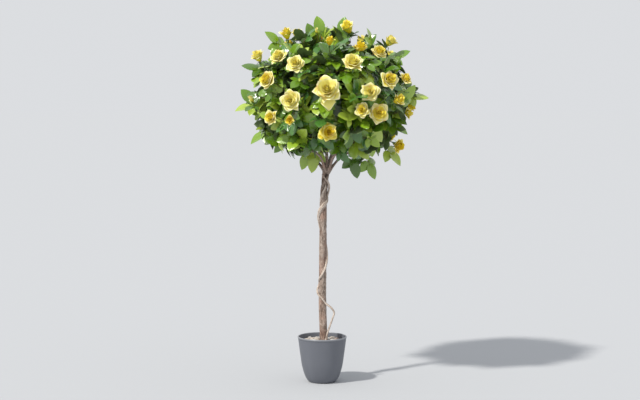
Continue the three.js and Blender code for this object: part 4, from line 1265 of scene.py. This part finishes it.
def add_petal(bm, turn, ring, loose):
    """One petal of a ring. loose holds three chances of -1 to 1 that make it unlike its fellows."""
    count, foot_reach, foot_height, length, width, lean, tip_lean, late, point, shades = ring
    length *= 1 + 0.11 * loose[0]
    tip_lean += (6 + 0.16 * tip_lean) * loose[1]
    width *= 1 + 0.10 * loose[2]
    point *= 1 + 0.45 * loose[2]
    rolls_back = math.sin(math.radians(min(max(tip_lean, 0), 90)))
    blushes = abs(loose[1]) < BLUSHING
    for under in (False, True):
        made = flat_grid(bm, PETAL_ROWS, PETAL_COLUMNS)
        for face in faces_of(made):
            middle = face.calc_center_median()
            row = min(int((middle.x + 1) / 2 * PETAL_ROWS), PETAL_ROWS - 1)
            at_corner = row == PETAL_ROWS - 1 and loose[0] * middle.y > 0.3 * abs(loose[0])
            shade = (OUTSIDE if under else shades)[row]
            face.material_index = BLUSH if blushes and at_corner else shade
        for vert in made:
            ahead, side = (vert.co.x + 1) / 2, vert.co.y
            edge = abs(side) > 0.99 or ahead < 0.01 or ahead > 0.99
            ahead = ahead**0.8
            rounded = ahead * (1 - point * abs(side) ** (2.2 - 2.2 * point) * ahead)
            reach, height = petal_path(foot_reach, foot_height, length, (lean, tip_lean), late, rounded)
            half = width / 2 * (0.30 + 0.70 * math.sin(math.pi / 2 * min(1, ahead * 1.35)))
            wrap = max(reach * 0.88, width * 0.17)
            angle = side * half / wrap
            reach += 0.016 * side
            curl = rolls_back * abs(side) ** 2.5 * max(0, ahead - 0.4) * (0.24 + 0.10 * loose[2])
            x = reach - wrap + (wrap + curl * 0.25) * math.cos(angle)
            y = (wrap + curl * 0.25) * math.sin(angle)
            ripple = (0.010 + 0.022 * rolls_back) * math.sin(5.5 * side + 6 * loose[0]) * ahead**2
            z = height - curl * 0.55 + ripple
            if under and not edge:
                x += PETAL_THICKNESS * math.cos(math.radians(lean))
                z -= PETAL_THICKNESS
            vert.co = spun(x, y, z, turn)


# %% Calyx
CUP_RADIUS = 0.085
SEPALS = 5
SEPAL_ROWS = 4
SEPAL_COLUMNS = 2
SEPAL_LENGTH = 0.34
SEPAL_HALF = 0.055
SEPAL_THICKNESS = 0.006


def add_calyx(bm, seat, spread, size):
    """The green cup under a rose, with five pointed sepals."""
    cup = bmesh.ops.create_uvsphere(bm, u_segments=10, v_segments=6, radius=CUP_RADIUS * size)["verts"]
    for vert in cup:
        vert.co.z = vert.co.z * 1.25 + seat - 0.05 * size
    green = list(cup)
    for i in range(SEPALS):
        turn = 2 * math.pi * i / SEPALS + 0.3
        for under in (False, True):
            made = flat_grid(bm, SEPAL_ROWS, SEPAL_COLUMNS)
            green += made
            for vert in made:
                ahead, side = (vert.co.x + 1) / 2, vert.co.y
                angle = math.radians(spread * (0.4 + 0.9 * ahead))
                reach = 0.05 * size + math.sin(angle) * ahead * SEPAL_LENGTH * size
                height = seat + 0.02 * size + math.cos(angle) * ahead * SEPAL_LENGTH * size
                half = SEPAL_HALF * size * (1 - ahead) ** 0.7 * (0.6 + ahead)
                lift = SEPAL_THICKNESS if under and abs(side) < 0.99 and ahead > 0 else 0
                vert.co = spun(reach + lift, side * half, height - lift, turn)
    for face in faces_of(green):
        face.material_index = CALYX


# %% Rose shapes
ROSE_SHAPES = {"open": 4, "droop_down": 1, "droop_left": 1, "half": 3, "bud": 2}
# where the loose petal hangs
HANGING = {"droop_down": (0.1, 0, -1.0), "droop_left": (-1.0, 0, -0.5)}
# rings, seat of the calyx, spread of its sepals in degrees, and its size
OPEN_ROSE = (OPEN_RINGS, -0.33, 118, 1.0)
ROSE_FORMS = {
    "open": OPEN_ROSE, "droop_down": OPEN_ROSE, "droop_left": OPEN_ROSE,
    "half": (HALF_RINGS, -0.46, 105, 1.1), "bud": (BUD_RINGS, -0.50, 30, 1.8),
}


def rose_shape(rings, seat, spread, size, drooping):
    """A rose of width 1 that looks along Z."""
    bm = bmesh.new()
    if drooping:
        add_petal(bm, 0, DROOPING, rose_dice.random(3) * 2 - 1)
    for level, ring in enumerate(rings):
        for i in range(ring[0]):
            part = i + 0.5 * (level % 2) + 0.25 * level + 0.34 * rose_dice.random()
            add_petal(bm, 2 * math.pi * part / ring[0], ring, rose_dice.random(3) * 2 - 1)
    add_calyx(bm, seat, spread, size)
    bmesh.ops.remove_doubles(bm, verts=bm.verts, dist=SHAPE_TOUCHING)
    bmesh.ops.recalc_face_normals(bm, faces=bm.faces)
    slots = np.array([face.material_index for face in bm.faces])
    return (*arrays_of(bm), slots)


rose_shapes, rose_slots = {}, {}
for form, parts in ROSE_FORMS.items():
    for i in range(ROSE_SHAPES[form]):
        places, faces, rose_slots[form, i] = rose_shape(*parts, form in HANGING)
        rose_shapes[form, i] = (places, faces)
        print(form, i, len(faces), "faces", places.min(0).round(2), places.max(0).round(2))

# %% [markdown]
# ## The roses in their places
# A few shapes of each form, turned about their axes, are enough for all the roses. Petals are
# thin and dull, so their shine is turned down. The same rows of shades serve a paler and a deeper
# rose, because a list for each of three kinds says which finish stands for which shade.

# %% Rose pieces
# the near-white petal_cream of the edges is partly the petals' own paler edge and partly a painted
# highlight
# material name and colour
PETAL_SHADES = {
    "petal_heart": (0.78, 0.465, 0.010), "petal_gold": (0.83, 0.585, 0.016),
    "petal_yellow": (0.86, 0.68, 0.034), "petal_lemon": (0.885, 0.76, 0.095),
    "petal_pale": (0.89, 0.815, 0.230), "petal_cream": (0.92, 0.880, 0.480),
    "petal_blush": (0.87, 0.66, 0.240),
}
# what each shade becomes on a pale, a plain and a deep rose
ROSE_KINDS = np.array([
    (GOLD, YELLOW, LEMON, PALE, PALE, CREAM, BLUSH, CALYX),
    (HEART, GOLD, YELLOW, LEMON, PALE, CREAM, BLUSH, CALYX),
    (HEART, HEART, GOLD, YELLOW, LEMON, PALE, BLUSH, CALYX),
])
rose_finishes = [
    finish(name, shade, 0.6, grain=900, bump=0.25, distance=0.0003, Specular_IOR_Level=0.2)
    for name, shade in PETAL_SHADES.items()
]
rose_finishes.append(finish("calyx_green", (0.10, 0.19, 0.035), 0.5, grain=700, bump=0.3))
rose_pieces = {"roses_front": [], "roses_back": []}
for i, rose in enumerate(roses):
    key = (rose["form"], i % ROSE_SHAPES[rose["form"]])
    third = rose["face"]
    level = across(third, np.array(HANGING.get(rose["form"], (0.2, 0.1, 1.0))))
    beside = np.cross(third, level)
    spin = 0 if rose["form"] in HANGING else 1.7 * i
    first = level * math.cos(spin) + beside * math.sin(spin)
    second = beside * math.cos(spin) - level * math.sin(spin)
    slots = ROSE_KINDS[rose["shade"]][rose_slots[key]]
    turn = axes_turn(first, second, third, rose["wide"])
    name = "roses_front" if rose["place"][1] < 0 else "roses_back"
    rose_pieces[name].append((key, turn, rose["place"], slots))
for name, copies in rose_pieces.items():
    piece_from(name, joined(name, rose_shapes, copies), rose_finishes)

# %% [markdown]
# ## Floor and light
# A plain pale floor under an even sky, with the sun high on the left in front, where it stood in
# the photograph, so the roses have their bright side up and to the left. The floor's colour is
# matched to the light that falls on it, so it looks as bright as the sky behind the plant.

# %% Floor
FLOOR_HALF = 40
FLOOR_SHADE = (0.496, 0.510, 0.534)
bm = bmesh.new()
bmesh.ops.create_grid(bm, x_segments=1, y_segments=1, size=FLOOR_HALF)
floor = bpy.data.objects.new("floor", mesh_of("floor", bm, smooth=False))
floor.data.materials.append(finish("floor_pale", FLOOR_SHADE, 0.95, bump=0, Specular_IOR_Level=0.0))
bpy.context.scene.collection.objects.link(floor)
print("floor", 2 * FLOOR_HALF, "metres wide")

# %% Light
SUN_STRENGTH = 3.05
SUN_SPREAD = 4
SUN_COLOUR = (1.0, 0.965, 0.90)
SUN_WAY = (0.52, 0.44, -0.76)
SKY_STRENGTH = 0.75
SKY_COLOUR = (0.95, 0.97, 1.0)
sun_data = bpy.data.lights.new("key", "SUN")
sun_data.energy = SUN_STRENGTH
sun_data.angle = math.radians(SUN_SPREAD)
sun_data.color = SUN_COLOUR
sun = bpy.data.objects.new("key", sun_data)
sun.rotation_euler = Vector(SUN_WAY).to_track_quat("-Z", "Y").to_euler()
bpy.context.scene.collection.objects.link(sun)
world = bpy.data.worlds.new("studio")
world.use_nodes = True
sky = world.node_tree.nodes["Background"]
sky.inputs["Color"].default_value = (*SKY_COLOUR, 1)
sky.inputs["Strength"].default_value = SKY_STRENGTH
bpy.context.scene.world = world
print("sun", SUN_STRENGTH, "and sky", SKY_STRENGTH)

# %% [markdown]
# ## Colour
# The Standard view shows colours as they were mixed. A filmic view would hold back the bright
# petals and turn their yellow pale.

# %% Colour
bpy.context.scene.view_settings.view_transform = "Standard"
print("view", bpy.context.scene.view_settings.view_transform)
